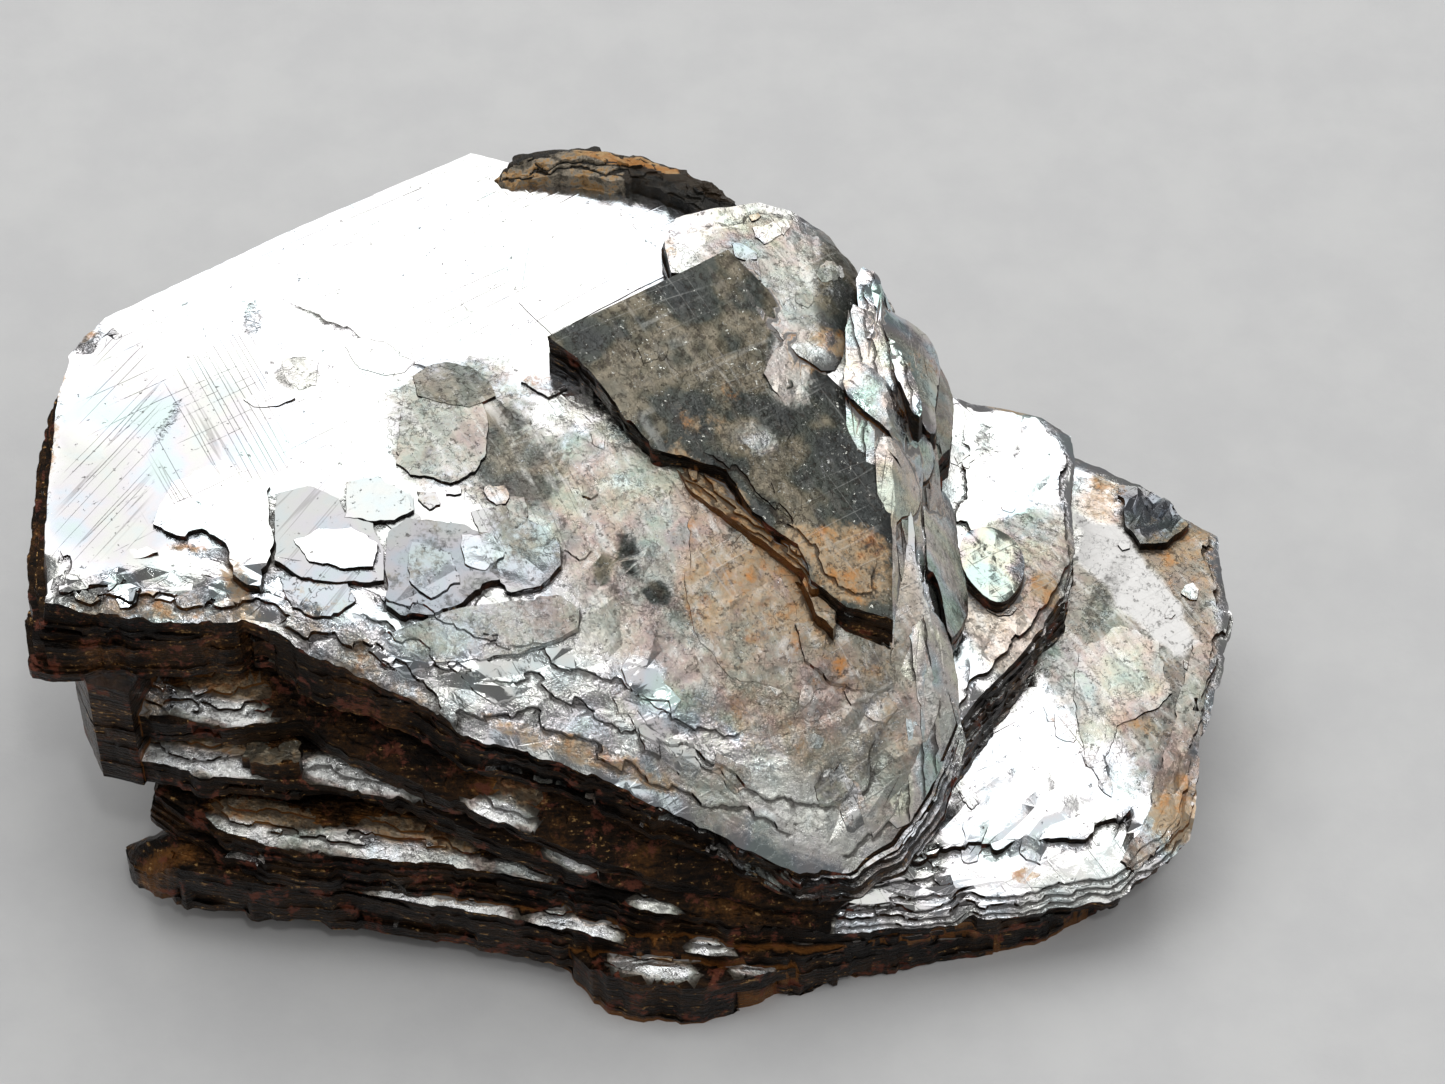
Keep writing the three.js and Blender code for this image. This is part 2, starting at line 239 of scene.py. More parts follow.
def cos_sin(degrees: float) -> tuple[float, float]:
    """Cosine and sine of an angle."""
    return math.cos(math.radians(degrees)), math.sin(math.radians(degrees))


def smooth(value: Array, low: float, high: float) -> Array:
    """Runs from 0 to 1 as the value goes from low to high, with soft ends."""
    t = np.clip((value - low) / (high - low), 0, 1)
    return t * t * (3 - 2 * t)


# ---- Outlines ----


def inside(x: Array, y: Array, ring: Array) -> Array:
    """Finds the places inside a closed outline.

    Args:
        x, y: places.
        ring: the outline.

    Returns:
        Whether each place lies inside.
    """
    hit = np.zeros(x.shape, bool)
    for (ax, ay), (bx, by) in zip(ring, np.roll(ring, -1, axis=0)):
        if ay != by:
            hit ^= ((ay > y) != (by > y)) & (x < (bx - ax) * (y - ay) / (by - ay) + ax)
    return hit


def boxed(x: Array, y: Array, low: Array, high: Array) -> Array:
    """Numbers of the places between two corners."""
    return np.nonzero((x > low[0]) & (x < high[0]) & (y > low[1]) & (y < high[1]))[0]


def inset(x: Array, y: Array, ring: Array) -> Array:
    """Measures how far in from an outline places lie.

    Args:
        x, y: places.
        ring: the outline.

    Returns:
        The distances, less than 0 outside it.
    """
    near = np.full(x.shape, FAR)
    for a, b in zip(ring, np.roll(ring, -1, axis=0)):
        way = b - a
        t = np.clip(((x - a[0]) * way[0] + (y - a[1]) * way[1]) / max(float(way @ way), 1e-12), 0, 1)
        near = np.minimum(near, (x - a[0] - t * way[0]) ** 2 + (y - a[1] - t * way[1]) ** 2)
    return np.where(inside(x, y, ring), 1.0, -1.0) * np.sqrt(near)


def anticlockwise(ring: Array) -> Array:
    """The outline, turned round if it runs clockwise."""
    nxt = np.roll(ring, -1, axis=0)
    return ring if np.sum(ring[:, 0] * nxt[:, 1] - nxt[:, 0] * ring[:, 1]) > 0 else ring[::-1].copy()


def outward(ring: Array, reach: int = 1) -> Array:
    """Finds the directions out of an anticlockwise outline.

    Args:
        ring: the outline.
        reach: over how many neighbours on each side they are evened.

    Returns:
        A unit direction for each point.
    """
    along = np.roll(ring, -reach, axis=0) - np.roll(ring, reach, axis=0)
    out = np.stack([along[:, 1], -along[:, 0]], axis=1)
    return out / np.maximum(np.linalg.norm(out, axis=1, keepdims=True), 1e-9)


def resampled(ring: Array, step: float) -> Array:
    """Adds points to an outline.

    Args:
        ring: the outline.
        step: how far apart its points may be.

    Returns:
        The fuller outline.
    """
    rows = []
    for a, b in zip(ring, np.roll(ring, -1, axis=0)):
        count = max(1, int(math.ceil(np.hypot(*(b[:2] - a[:2])) / step)))
        rows += [a + (b - a) * k / count for k in range(count)]
    return np.array(rows)


def jagged(ring: Array, amount: float, seed: int, step: float = .25) -> Array:
    """Breaks an outline into small teeth and bites.

    Args:
        ring: the outline.
        amount: about how large they are.
        seed: which pattern.
        step: how far apart the points may be.

    Returns:
        The broken outline.
    """
    loop = resampled(ring, step)
    x, y = loop[:, 0], loop[:, 1]
    size = max(6 * amount, 3 * step)
    shift = rough(x, y, size, seed, 3) + 1.4 * chips(x, y, .8 * size, seed + 3)
    return loop + outward(loop, 2) * (amount * shift)[:, None]


@dataclass
class Plot:
    """A square grid over part of the plan, and the reading of numbers between its points."""

    low: Array
    high: Array
    pitch: float

    def __post_init__(self) -> None:
        """Counts the grid's points."""
        self.wide, self.tall = (int(n) for n in np.ceil((self.high - self.low) / self.pitch) + 2)

    def places(self) -> Pair:
        """The grid's points, as two arrays of tall rows and wide columns."""
        return np.meshgrid(self.low[0] + self.pitch * np.arange(self.wide),
                           self.low[1] + self.pitch * np.arange(self.tall))

    def read(self, values: Array, x: Array, y: Array) -> Array:
        """Reads a gridded number at any place, held constant past the grid.

        Args:
            values: the number at each grid point.
            x, y: places.

        Returns:
            The number at each place.
        """
        u = np.clip((x - self.low[0]) / self.pitch, 0, self.wide - 1.001)
        v = np.clip((y - self.low[1]) / self.pitch, 0, self.tall - 1.001)
        i, j = u.astype(int), v.astype(int)
        fu, fv = u - i, v - j
        return ((values[j, i] * (1 - fu) + values[j, i + 1] * fu) * (1 - fv)
                + (values[j + 1, i] * (1 - fu) + values[j + 1, i + 1] * fu) * fv)

    def contour(self, values: Array, level: float) -> Pair:
        """Traces the line where a gridded number crosses a level.

        Args:
            values: the number at each grid point.
            level: the level.

        Returns:
            Points on the line, and pairs of their numbers that are joined.
        """
        x, y = self.places()
        over = values > level
        rise_x, rise_y = (np.diff(values, axis=axis) + 1e-12 for axis in (1, 0))
        gap_x = np.where(over[:, :-1] != over[:, 1:], (level - values[:, :-1]) / rise_x, np.nan)
        gap_y = np.where(over[:-1] != over[1:], (level - values[:-1]) / rise_y, np.nan)
        cut_x, cut_y = ~np.isnan(gap_x), ~np.isnan(gap_y)
        name_x = np.full(cut_x.shape, -1)
        name_x[cut_x] = np.arange(cut_x.sum())
        name_y = np.full(cut_y.shape, -1)
        name_y[cut_y] = cut_x.sum() + np.arange(cut_y.sum())
        points = np.vstack([
            np.column_stack([x[:, :-1][cut_x] + gap_x[cut_x] * self.pitch, y[:, :-1][cut_x]]),
            np.column_stack([x[:-1][cut_y], y[:-1][cut_y] + gap_y[cut_y] * self.pitch])])
        sides = np.stack([name_x[:-1], name_y[:, 1:], name_x[1:], name_y[:, :-1]], axis=-1).reshape(-1, 4)
        count = (sides >= 0).sum(axis=1)
        two = sides[count == 2]
        pairs = [two[two >= 0].reshape(-1, 2)] if len(two) else []
        four = sides[count == 4]
        pairs += [four[:, [0, 1]], four[:, [2, 3]]]
        return points, np.vstack(pairs)


# ---- Zones, stains and growth ----


class Stain(IntEnum):
    """What a zone paints on the surface; the number is its place in a point's row of stains."""

    RUST = 0
    COAT = 1
    TONE = 2
    TARNISH = 3
    RISING_LINES = 4
    FALLING_LINES = 5
    # this stain holds both dark sooty grime and the painted shade at the foot of steps and flakes
    GRIME = 6
    QUARTZ = 7


RUST, COAT, TONE, TARNISH, RISING_LINES, FALLING_LINES, GRIME, QUARTZ = Stain


@dataclass(frozen=True)
class Oval:
    """A soft-edged oval zone."""

    at: tuple[float, float]
    reach: tuple[float, float]
    turn: float = 0.0
    wander: float = .22

    def weight(self, x: Array, y: Array) -> Array:
        """How strongly the zone acts.

        Args:
            x, y: places.

        Returns:
            A share for each place.
        """
        c, s = cos_sin(self.turn)
        dx, dy = x - self.at[0], y - self.at[1]
        far = np.hypot((c * dx + s * dy) / self.reach[0], (c * dy - s * dx) / self.reach[1])
        far = far + self.wander * rough(x, y, 2.2, 77, 3)
        return 1 - smooth(far, .65, 1.25)

    def box(self) -> Pair:
        """Corners of the zone's surroundings."""
        reach = 1.5 * max(self.reach)
        return np.array(self.at) - reach, np.array(self.at) + reach


@dataclass(frozen=True)
class Area:
    """A many-sided zone."""

    ring: Points
    soft: float = .5
    wander: float = .4

    def weight(self, x: Array, y: Array) -> Array:
        """How strongly the zone acts at each place."""
        far = inset(x, y, np.array(self.ring, float)) + self.wander * rough(x, y, 1.6, 79, 3)
        return smooth(far, -.5 * self.soft, .5 * self.soft)

    def box(self) -> Pair:
        """Corners of the zone's surroundings."""
        ring = np.array(self.ring, float)
        return ring.min(axis=0) - self.wander - self.soft, ring.max(axis=0) + self.wander + self.soft


Zone = Oval | Area


@dataclass(frozen=True)
class Paint:
    """Brings one stain to a level inside a zone."""

    stain: Stain
    zone: Zone
    level: float = 1.0


def ovals(stain: Stain, *rows: tuple[float, ...]) -> list[Paint]:
    """Paints one stain in soft ovals, one after the other.

    Args:
        stain: what is painted.
        rows: each oval's middle [x, y], reach [x, y] and level, then its turn and wander where it has them.

    Returns:
        The paints.
    """
    return [Paint(stain, Oval((x, y), (wide, tall), *rest), level) for x, y, wide, tall, level, *rest in rows]


@dataclass(frozen=True)
class Roll:
    """Rounds the crystal's face down towards its rim inside a zone."""

    zone: Zone
    drop: float
    width: float


@dataclass
class Steps:
    """Thin sheets of the face that end one behind the other, in broken steps.

    ends tells how far in from the rim each sheet ends, or how far along toward where that is given.
    """

    zone: Zone
    ends: tuple[float, ...]
    drop: float
    seed: int
    wander: float = .7
    size: float = 3.0
    bite: float = .5
    bite_size: float = 1.3
    toward: tuple[float, float] | None = None

    def survey(self, rim: Height, low: Array, high: Array) -> None:
        """Maps where the sheets end.

        Args:
            rim: how far in from the crystal's rim a place is.
            low, high: corners of the crystal's plan.
        """
        a, b = self.zone.box()
        self.plot = Plot(np.maximum(a, low), np.minimum(b, high), MAP_PITCH)
        x, y = self.plot.places()
        along = rim(x, y) if self.toward is None else self.toward[0] * x + self.toward[1] * y
        self.map = (along + self.wander * rough(x, y, self.size, self.seed, 4)
                    + 2 * self.bite * chips(x, y, self.bite_size, self.seed + 1)
                    + .12 * rough(x, y, .5, self.seed + 2, 2))
        gy, gx = np.gradient(self.map, self.plot.pitch)
        self.slope = (gx, gy)

    def lines(self, rim: Height) -> list[Pair]:
        """Both edges of each step.

        Args:
            rim: how far in from the crystal's rim a place is.

        Returns:
            For each edge its points, and pairs of joined points.
        """
        made = []
        for end in self.ends:
            points, pairs = self.plot.contour(self.map, end)
            if not len(pairs):
                continue
            x, y = points[:, 0], points[:, 1]
            keep = (self.zone.weight(x, y) > .04) & (rim(x, y) > .03)
            pairs = pairs[keep[pairs].all(axis=1)]
            gx, gy = (self.plot.read(g, x, y) for g in self.slope)
            way = np.stack([gx, gy], axis=1) / np.maximum(np.hypot(gx, gy), 1e-6)[:, None]
            made += [(points + side * LIP * way, pairs) for side in (-.5, .5)]
        return made

    def lowering(self, x: Array, y: Array) -> Pair:
        """How far the steps lower the face, and how much painted shade lies at the foot of each step.

        Args:
            x, y: places.

        Returns:
            The depth and the painted shade at each place.
        """
        down, grime_and_shade = np.zeros_like(x), np.zeros_like(x)
        near = boxed(x, y, *self.zone.box())
        if not len(near):
            return down, grime_and_shade
        px, py = x[near], y[near]
        much = self.zone.weight(px, py)
        value = self.plot.read(self.map, px, py)
        steep = np.maximum(.35, np.hypot(*(self.plot.read(g, px, py) for g in self.slope)))
        for k, end in enumerate(self.ends):
            gap = (value - end) / steep
            thick = self.drop * (.6 + .8 * float(lattice(np.array(k), np.array(0), self.seed)))
            down[near] += thick * much * (1 - np.clip(gap / LIP + .5, 0, 1))
            # painted shade: a band just past each sheet's end, darkest at the foot of the step
            foot_shade = much * ((gap < 0) & (gap > -FOOT_SHADE_BAND)) * (1 + gap / FOOT_SHADE_BAND)
            grime_and_shade[near] = np.maximum(grime_and_shade[near], foot_shade)
        return down, grime_and_shade


@dataclass(frozen=True)
class Crumple:
    """Foil-like facets in a zone: a loose lattice of points at chance heights, joined by flat triangles."""

    zone: Zone
    depth: float
    size: tuple[float, float] = (.9, .5)
    heading: float = -15.0
    seed: int = 1

    def corner(self, i: Array, j: Array) -> tuple[Array, Array, Array]:
        """Where the lattice points lie.

        Args:
            i, j: the points' numbers.

        Returns:
            Their X, their Y, and their height from -1 to 1.
        """
        u = (i + .62 * (lattice(i, j, self.seed) - .5)) * self.size[0]
        v = (j + .62 * (lattice(i, j, self.seed + 1) - .5)) * self.size[1]
        c, s = cos_sin(self.heading)
        return c * u - s * v, s * u + c * v, 2 * lattice(i, j, self.seed + 2) - 1

    def cells(self, x: Array, y: Array) -> Pair:
        """Which lattice cell each place falls in."""
        c, s = cos_sin(self.heading)
        return np.floor((c * x + s * y) / self.size[0]), np.floor((c * y - s * x) / self.size[1])

    def height(self, x: Array, y: Array) -> Array:
        """Height of the facets.

        Args:
            x, y: places.

        Returns:
            The height at each place.
        """
        out = np.zeros_like(x)
        much = self.zone.weight(x, y)
        near = np.nonzero(much > .01)[0]
        px, py = x[near], y[near]
        i, j = self.cells(px, py)
        level = np.zeros_like(px)
        for di in (-1, 0, 1):
            for dj in (-1, 0, 1):
                a, c = self.corner(i + di, j + dj), self.corner(i + di + 1, j + dj + 1)
                for b in (self.corner(i + di + 1, j + dj), self.corner(i + di, j + dj + 1)):
                    det = (b[0] - a[0]) * (c[1] - a[1]) - (b[1] - a[1]) * (c[0] - a[0])
                    s = ((px - a[0]) * (c[1] - a[1]) - (py - a[1]) * (c[0] - a[0])) / det
                    t = ((b[0] - a[0]) * (py - a[1]) - (b[1] - a[1]) * (px - a[0])) / det
                    hit = (s >= -1e-9) & (t >= -1e-9) & (s + t <= 1 + 1e-9)
                    level = np.where(hit, a[2] + s * (b[2] - a[2]) + t * (c[2] - a[2]), level)
        out[near] = level * much[near] * self.depth
        return out

    def lines(self, rim: Height) -> list[Pair]:
        """The facets' borders.

        Args:
            rim: how far in from the crystal's rim a place is.

        Returns:
            Their points, and pairs of joined points.
        """
        low, high = self.zone.box()
        x, y = Plot(low, high, .5 * min(self.size)).places()
        i, j = self.cells(x.ravel(), y.ravel())
        cells = np.unique(np.column_stack([i, j]), axis=0)
        corners = np.vstack([cells + d for d in ((0, 0), (1, 0), (0, 1), (1, 1))])
        names, back = np.unique(corners, axis=0, return_inverse=True)
        a, b, c, d = back.ravel().reshape(4, -1)
        px, py, _ = self.corner(names[:, 0], names[:, 1])
        keep = (self.zone.weight(px, py) > .05) & (rim(px, py) > .08)
        pairs = np.vstack([np.column_stack(p) for p in ((a, b), (a, c), (a, d), (b, d), (c, d))])
        pairs = np.unique(np.sort(pairs, axis=1), axis=0)
        return [(np.column_stack([px, py]), pairs[keep[pairs].all(axis=1)])]


@dataclass
class Flake:
    """A thin growth plate or scale that stands a little above what it lies on."""

    ring: Array | Points
    rise: float
    tilt: tuple[float, float] = (0.0, 0.0)
    tone: float = .5
    coat: float = 0.0
    rust: float = 0.0
    ragged: float = .12
    seed: int = 5

    def __post_init__(self) -> None:
        """Breaks the outline and finds its middle."""
        ring = anticlockwise(np.asarray(self.ring, float))
        self.ring = jagged(ring, self.ragged, self.seed) if self.ragged else ring
        self.middle = self.ring.mean(axis=0)

    def above(self, x: Array, y: Array) -> Array:
        """How far the flake's face stands above the bare surface."""
        return self.rise + self.tilt[0] * (x - self.middle[0]) + self.tilt[1] * (y - self.middle[1])


@dataclass(frozen=True)
class Scatter:
    """A crop of flakes strewn over a region."""

    region: Points
    count: int
    size: tuple[float, float]
    aspect: float = 1.6
    heading: float = 0.0
    wander: float = 40.0
    tilt: float = .1
    rise: tuple[float, float] = (.05, .2)
    tone: tuple[float, float] = (.2, .9)
    coat: float = 0.0
    rust: float = 0.0
    corners: tuple[int, int] = (5, 8)

    def flakes(self, rng: np.random.Generator) -> list[Flake]:
        """Makes the crop.

        Args:
            rng: source of chance.

        Returns:
            The flakes, each with its own outline, tilt and tone.
        """
        ring = np.array([p[:2] for p in self.region], float)
        low, high = ring.min(axis=0), ring.max(axis=0)
        made: list[Flake] = []
        while len(made) < self.count:
            middle = rng.uniform(low, high)
            if not inside(middle[:1], middle[1:], ring)[0]:
                continue
            sides = int(rng.integers(self.corners[0], self.corners[1] + 1))
            turn = np.linspace(0, 2 * math.pi, sides, endpoint=False) + rng.uniform(-.3, .3, sides)
            far = rng.uniform(.7, 1.1, sides)
            size = self.size[0] * (self.size[1] / self.size[0]) ** rng.uniform(0, 1)
            shape = np.stack([np.cos(turn) * far * self.aspect**.5, np.sin(turn) * far / self.aspect**.5], axis=1)
            c, s = cos_sin(self.heading + rng.normal(0, self.wander))
            spin = np.array([[c, s], [-s, c]])
            tilt = rng.normal(0, self.tilt / 2, 2)
            made.append(Flake(middle + .5 * size * shape @ spin, float(rng.uniform(*self.rise)),
                              (float(tilt[0]), float(tilt[1])), float(rng.uniform(*self.tone)),
                              float(np.clip(self.coat + rng.normal(0, .2), 0, 1)),
                              float(np.clip(self.rust + rng.normal(0, .15), 0, 1)), .07 * size, len(made)))
        return made


# ---- Solids ----


class Face(IntEnum):
    """Which finish a face of a solid takes."""

    BRIGHT = 0
    EDGE = 1
    CRUST = 2


BRIGHT, EDGE, CRUST = Face


@dataclass
class Solid:
    """A closed triangle mesh in mm, with a finish for each face and a row of stains for each point."""

    points: Array
    tris: Array
    faces: Array
    stains: Array


@dataclass
class Slab:
    """One tabular crystal: a face with its growth, a broken layered edge and a plain base.

    rim holds [x, y, how far the foot stands out, how ragged the edge is], and curved counts how often its
    corners are cut. bare holds the stains of the untouched face, in the order of Stain.
    """

    rim: Points
    top: Height
    deep: tuple[float, float]
    seed: int
    layers: int = 8
    pitch: float = .5
    step: float = .22
    ragged: float = .22
    ledge: float = .12
    bites: float = .35
    waves: float = .06
    grain: float = .02
    bare: tuple[float, ...] = (0.0, 0.0, .5)
    growth: list[Flake | Steps | Crumple | Roll | Paint] = field(default_factory=list)
    curved: int = 0
    crust: bool = False

    def all(self, kind: type) -> list[Any]:
        """The growth of one kind, in order."""
        return [g for g in self.growth if isinstance(g, kind)]

    def outline(self) -> Array:
        """Breaks the rim of the upper face.

        Returns:
            Rows of [x, y, spread, ragged].
        """
        corners = np.array([[*p, *[0.0, self.ragged][len(p) - 2:]] for p in self.rim], float)
        if not np.array_equal(anticlockwise(corners[:, :2]), corners[:, :2]):
            corners = corners[::-1]
        for _ in range(self.curved):
            after = np.roll(corners, -1, axis=0)
            corners = np.stack([.75 * corners + .25 * after, .25 * corners + .75 * after], axis=1).reshape(-1, 4)
        ring = resampled(corners, self.step)
        out = outward(ring[:, :2], 4)
        x, y = ring[:, 0], ring[:, 1]
        shift = .6 * rough(x, y, 3.2, self.seed, 4) + .9 * chips(x, y, 1.5, self.seed + 5)
        shift += .25 * swell(x, y, .45, self.seed + 9)
        ring[:, :2] += out * (ring[:, 3] * shift)[:, None]
        return ring

    def survey(self, ring: Array) -> None:
        """Maps how far in from the rim each place lies, and the broken sheets.

        Args:
            ring: the broken rim.
        """
        low, high = ring[:, :2].min(axis=0) - .5, ring[:, :2].max(axis=0) + .5
        plot = Plot(low, high, .4)
        x, y = plot.places()
        depth = inset(x, y, ring[::2, :2])
        self.inset = lambda px, py: plot.read(depth, px, py)
        for steps in self.all(Steps):
            steps.survey(self.inset, low, high)

    def stained(self, x: Array, y: Array) -> Array:
        """Stains of the face without its flakes.

        Args:
            x, y: places.

        Returns:
            A row of stains for each place.
        """
        rows = np.zeros((len(x), len(Stain)))
        rows[:, : len(self.bare)] = self.bare
        for paint in self.all(Paint):
            row = rows[:, paint.stain]
            row += paint.zone.weight(x, y) * (paint.level - row)
        return rows

    def cover(self, x: Array, y: Array) -> Pair:
        """Height and stains of the face at each place.

        Args:
            x, y: places.

        Returns:
            The heights, and a row of stains for each place.
        """
        z = self.top(x, y) + self.waves * rough(x, y, 7.0, self.seed + 13, 3)
        z = z + self.grain * rough(x, y, 1.1, self.seed + 17, 2)
        stains = self.stained(x, y)
        rust, coat, tone, grime_and_shade = (stains[:, k] for k in (RUST, COAT, TONE, GRIME))
        for crumple in self.all(Crumple):
            z = z + crumple.height(x, y)
        for roll in self.all(Roll):
            z = z - roll.zone.weight(x, y) * roll.drop * np.clip(1 - self.inset(x, y) / roll.width, 0, 1) ** 2
        for steps in self.all(Steps):
            down, foot_shade = steps.lowering(x, y)
            z = z - down
            grime_and_shade[:] = np.maximum(grime_and_shade, .8 * foot_shade)
        base = z.copy()
        for flake in self.all(Flake):
            near = boxed(x, y, flake.ring.min(axis=0) - .1, flake.ring.max(axis=0) + .1)
            within = inside(x[near], y[near], flake.ring)
            # painted shade: a dark band just outside each flake's edge, stronger where the flake stands higher
            about = near[~within & inside(x[near], y[near], flake.ring + .06 * outward(flake.ring))]
            low_by = base[about] + flake.above(x[about], y[about]) - z[about]
            grime_and_shade[about] = np.maximum(grime_and_shade[about], .75 * smooth(low_by, .08, .45))
            near = near[within]
            level = base[near] + flake.above(x[near], y[near])
            near, level = near[level > z[near]], level[level > z[near]]
            z[near], tone[near], grime_and_shade[near] = level, flake.tone, 0.0
            rust[near] = np.maximum(.75 * rust[near], flake.rust)
            coat[near] = .5 * coat[near] + .5 * flake.coat
        return z, stains

    def face(self, ring: Array) -> tuple[Array, Array, Array]:
        """Nets the upper face so that the steps and the flakes' edges are crisp.

        Args:
            ring: the broken rim.

        Returns:
            Plan points, triangles, and the boundary's points in order, anticlockwise.
        """
        rng = np.random.default_rng(self.seed)
        low, high = ring[:, :2].min(axis=0), ring[:, :2].max(axis=0)
        gx, gy = Plot(low, high, self.pitch).places()
        grid = np.stack([gx.ravel(), gy.ravel()], axis=1)
        grid[:, 0] += .5 * self.pitch * (np.floor((grid[:, 1] - low[1]) / self.pitch + .5) % 2)
        grid += rng.uniform(-.18, .18, grid.shape) * self.pitch
        grid = grid[self.inset(grid[:, 0], grid[:, 1]) > .35 * self.pitch]
        points, edges = [ring[:, :2], grid], []
        start = len(ring) + len(grid)
        nets = [net for g in self.all(Steps) + self.all(Crumple) for net in g.lines(self.inset)]
        for flake in self.all(Flake):
            out, n = outward(flake.ring), len(flake.ring)
            pairs = np.column_stack([np.arange(n), (np.arange(n) + 1) % n])
            nets += [(flake.ring + side * LIP * out, pairs) for side in (-.5, .5)]
        for places, pairs in nets:
            used, back = np.unique(pairs, return_inverse=True)
            points.append(places[used])
            edges += (back.reshape(-1, 2) + start).tolist()
            start += len(used)
        net = delaunay_2d_cdt([Vector(p) for p in np.vstack(points)], edges, [list(range(len(ring)))], 1, 1e-5)
        places = np.array([tuple(p) for p in net[0]])
        tris = np.array([f for f, source in zip(net[2], net[5]) if source and len(f) == 3])
        used, tris = np.unique(tris, return_inverse=True)
        tris, places = tris.reshape(-1, 3), places[used]
        sides = np.vstack([tris[:, [0, 1]], tris[:, [1, 2]], tris[:, [2, 0]]])
        there = {(int(p), int(q)) for p, q in sides}
        onward = {p: q for p, q in there if (q, p) not in there}
        first = next(iter(onward))
        loop = [first]
        while onward[loop[-1]] != first:
            loop.append(onward[loop[-1]])
        if len(loop) != len(onward):
            raise ValueError(f"a crystal's face has {len(onward)} edge points but a rim of {len(loop)}")
        return places, tris, np.array(loop)

    def walls(self, edge: Array, rim_z: Array, ring: Array) -> tuple[list[Array], list[Array], Array]:
        """The broken edge's rings, from the rim down.

        Args:
            edge: the rim's points in plan.
            rim_z: the face's height at them.
            ring: the broken rim with its spreads.

        Returns:
            A ring of points for each level, how deep each lies, and its offset out of the rim.
        """
        nearest = np.array([int(np.argmin(((ring[:, :2] - p) ** 2).sum(axis=1))) for p in edge])
        spread, loose = ring[nearest, 2], np.clip(ring[nearest, 3] / max(self.ragged, 1e-6), 0, 1.6)
        x, y = edge[:, 0], edge[:, 1]
        out = outward(edge, 9)
        thick = self.deep[0] + (self.deep[1] - self.deep[0]) * stack(x)
        crown = self.top(x, y)
        rng = np.random.default_rng(self.seed + 3)
        shares = np.cumsum(rng.uniform(.25, 1.0, self.layers) ** 1.5)
        shares = shares / shares[-1]
        rings, depths, offsets = [], [], []
        shift, before = np.zeros_like(x), np.zeros_like(x)
        for k, share in enumerate(shares):
            last = k == self.layers - 1
            level = share + (0 if last else .35 / self.layers * rough(x, y, 5.0, self.seed + 41 * k, 2))
            fresh = self.ledge * (rough(x, y, 2.4, self.seed + 11 * k, 4) + .8 * chips(x, y, 1.1, self.seed + k))
            hollow = swell(x, y, 3.6, self.seed + 7 * k + 2) + .5 * chips(x, y, 1.6, self.seed + 5 * k)
            bite = -self.bites * smooth(hollow, .35, .55)
            shift = (.5 * shift + fresh + bite) if k else .4 * fresh
            reach = spread * .5 * (before + level) + shift * loose
            for at in ((before, level) if k else (level,)):
                depth = at * thick
                height = crown - depth
                left = np.clip((rim_z - height) / SPREAD_START, 0, 1)
                top = rim_z - LEAST_DROP * (len(rings) + 1)
                rings.append(np.column_stack([edge + out * (reach * left)[:, None], np.minimum(height, top)]))
                depths.append(depth)
                offsets.append(reach * left)
            before = level
        return rings, depths, np.array(offsets)

    def build(self) -> Solid:
        """Makes the whole crystal.

        Returns:
            The solid.
        """
        ring = self.outline()
        self.survey(ring)
        places, tris, loop = self.face(ring)
        z, stains = self.cover(places[:, 0], places[:, 1])
        edge, count = places[loop], len(loop)
        rings, depths, offsets = self.walls(edge, z[loop], ring)
        rim_stains = self.stained(edge[:, 0], edge[:, 1])
        points, paint, faces = [np.column_stack([places, z])], [stains], [tris]
        painted = self.stained(places[:, 0], places[:, 1])[:, GRIME]
        kinds = [self.finish(points[0], tris, painted)]
        base, previous = len(places), loop
        middle = edge.mean(axis=0)
        foot = rings[-1][:, :2]
        below = list(zip(rings, depths, offsets))
        for share in (.8, .45):
            inner = middle + (foot - middle) * share
            low = (self.top(inner[:, 0], inner[:, 1]) - self.deep[0]
                   - (self.deep[1] - self.deep[0]) * stack(inner[:, 0]))
            below.append((np.column_stack([inner, low]), depths[-1], offsets[-1] - 1))
        proud = .25 - .17 * smooth(edge[:, 0], 3, 11) + smooth(-edge[:, 0], 20, 24)
        out_before = np.zeros(count)
        for k, (row, depth, off) in enumerate(below):
            stain = np.zeros((count, len(Stain)))
            stain[:, RUST], stain[:, [COAT, TONE]] = .8 * rim_stains[:, RUST], .45
            stain[:, TARNISH], stain[:, GRIME] = .1 * depth, rim_stains[:, GRIME]
            points.append(row)
            paint.append(stain)
            current = base + np.arange(count)
            onward, under = np.roll(previous, -1), np.roll(current, -1)
            faces += [np.column_stack([previous, current, under]), np.column_stack([previous, under, onward])]
            shelf = (off - out_before > proud) & (k % 2 == 1) & (k < len(rings))
            kinds += [np.where(shelf, BRIGHT, EDGE)] * 2
            previous, base, out_before = current, base + count, off
        points.append(np.array([[*middle, float(np.mean(points[-1][:, 2]))]]))
        paint.append(paint[-1][:1])
        faces.append(np.column_stack([previous, np.full(count, base), np.roll(previous, -1)]))
        kinds.append(np.full(count, EDGE))
        kind = np.concatenate(kinds)
        if self.crust:
            kind[:] = CRUST
        return Solid(np.vstack(points), np.vstack(faces), kind, np.vstack(paint))

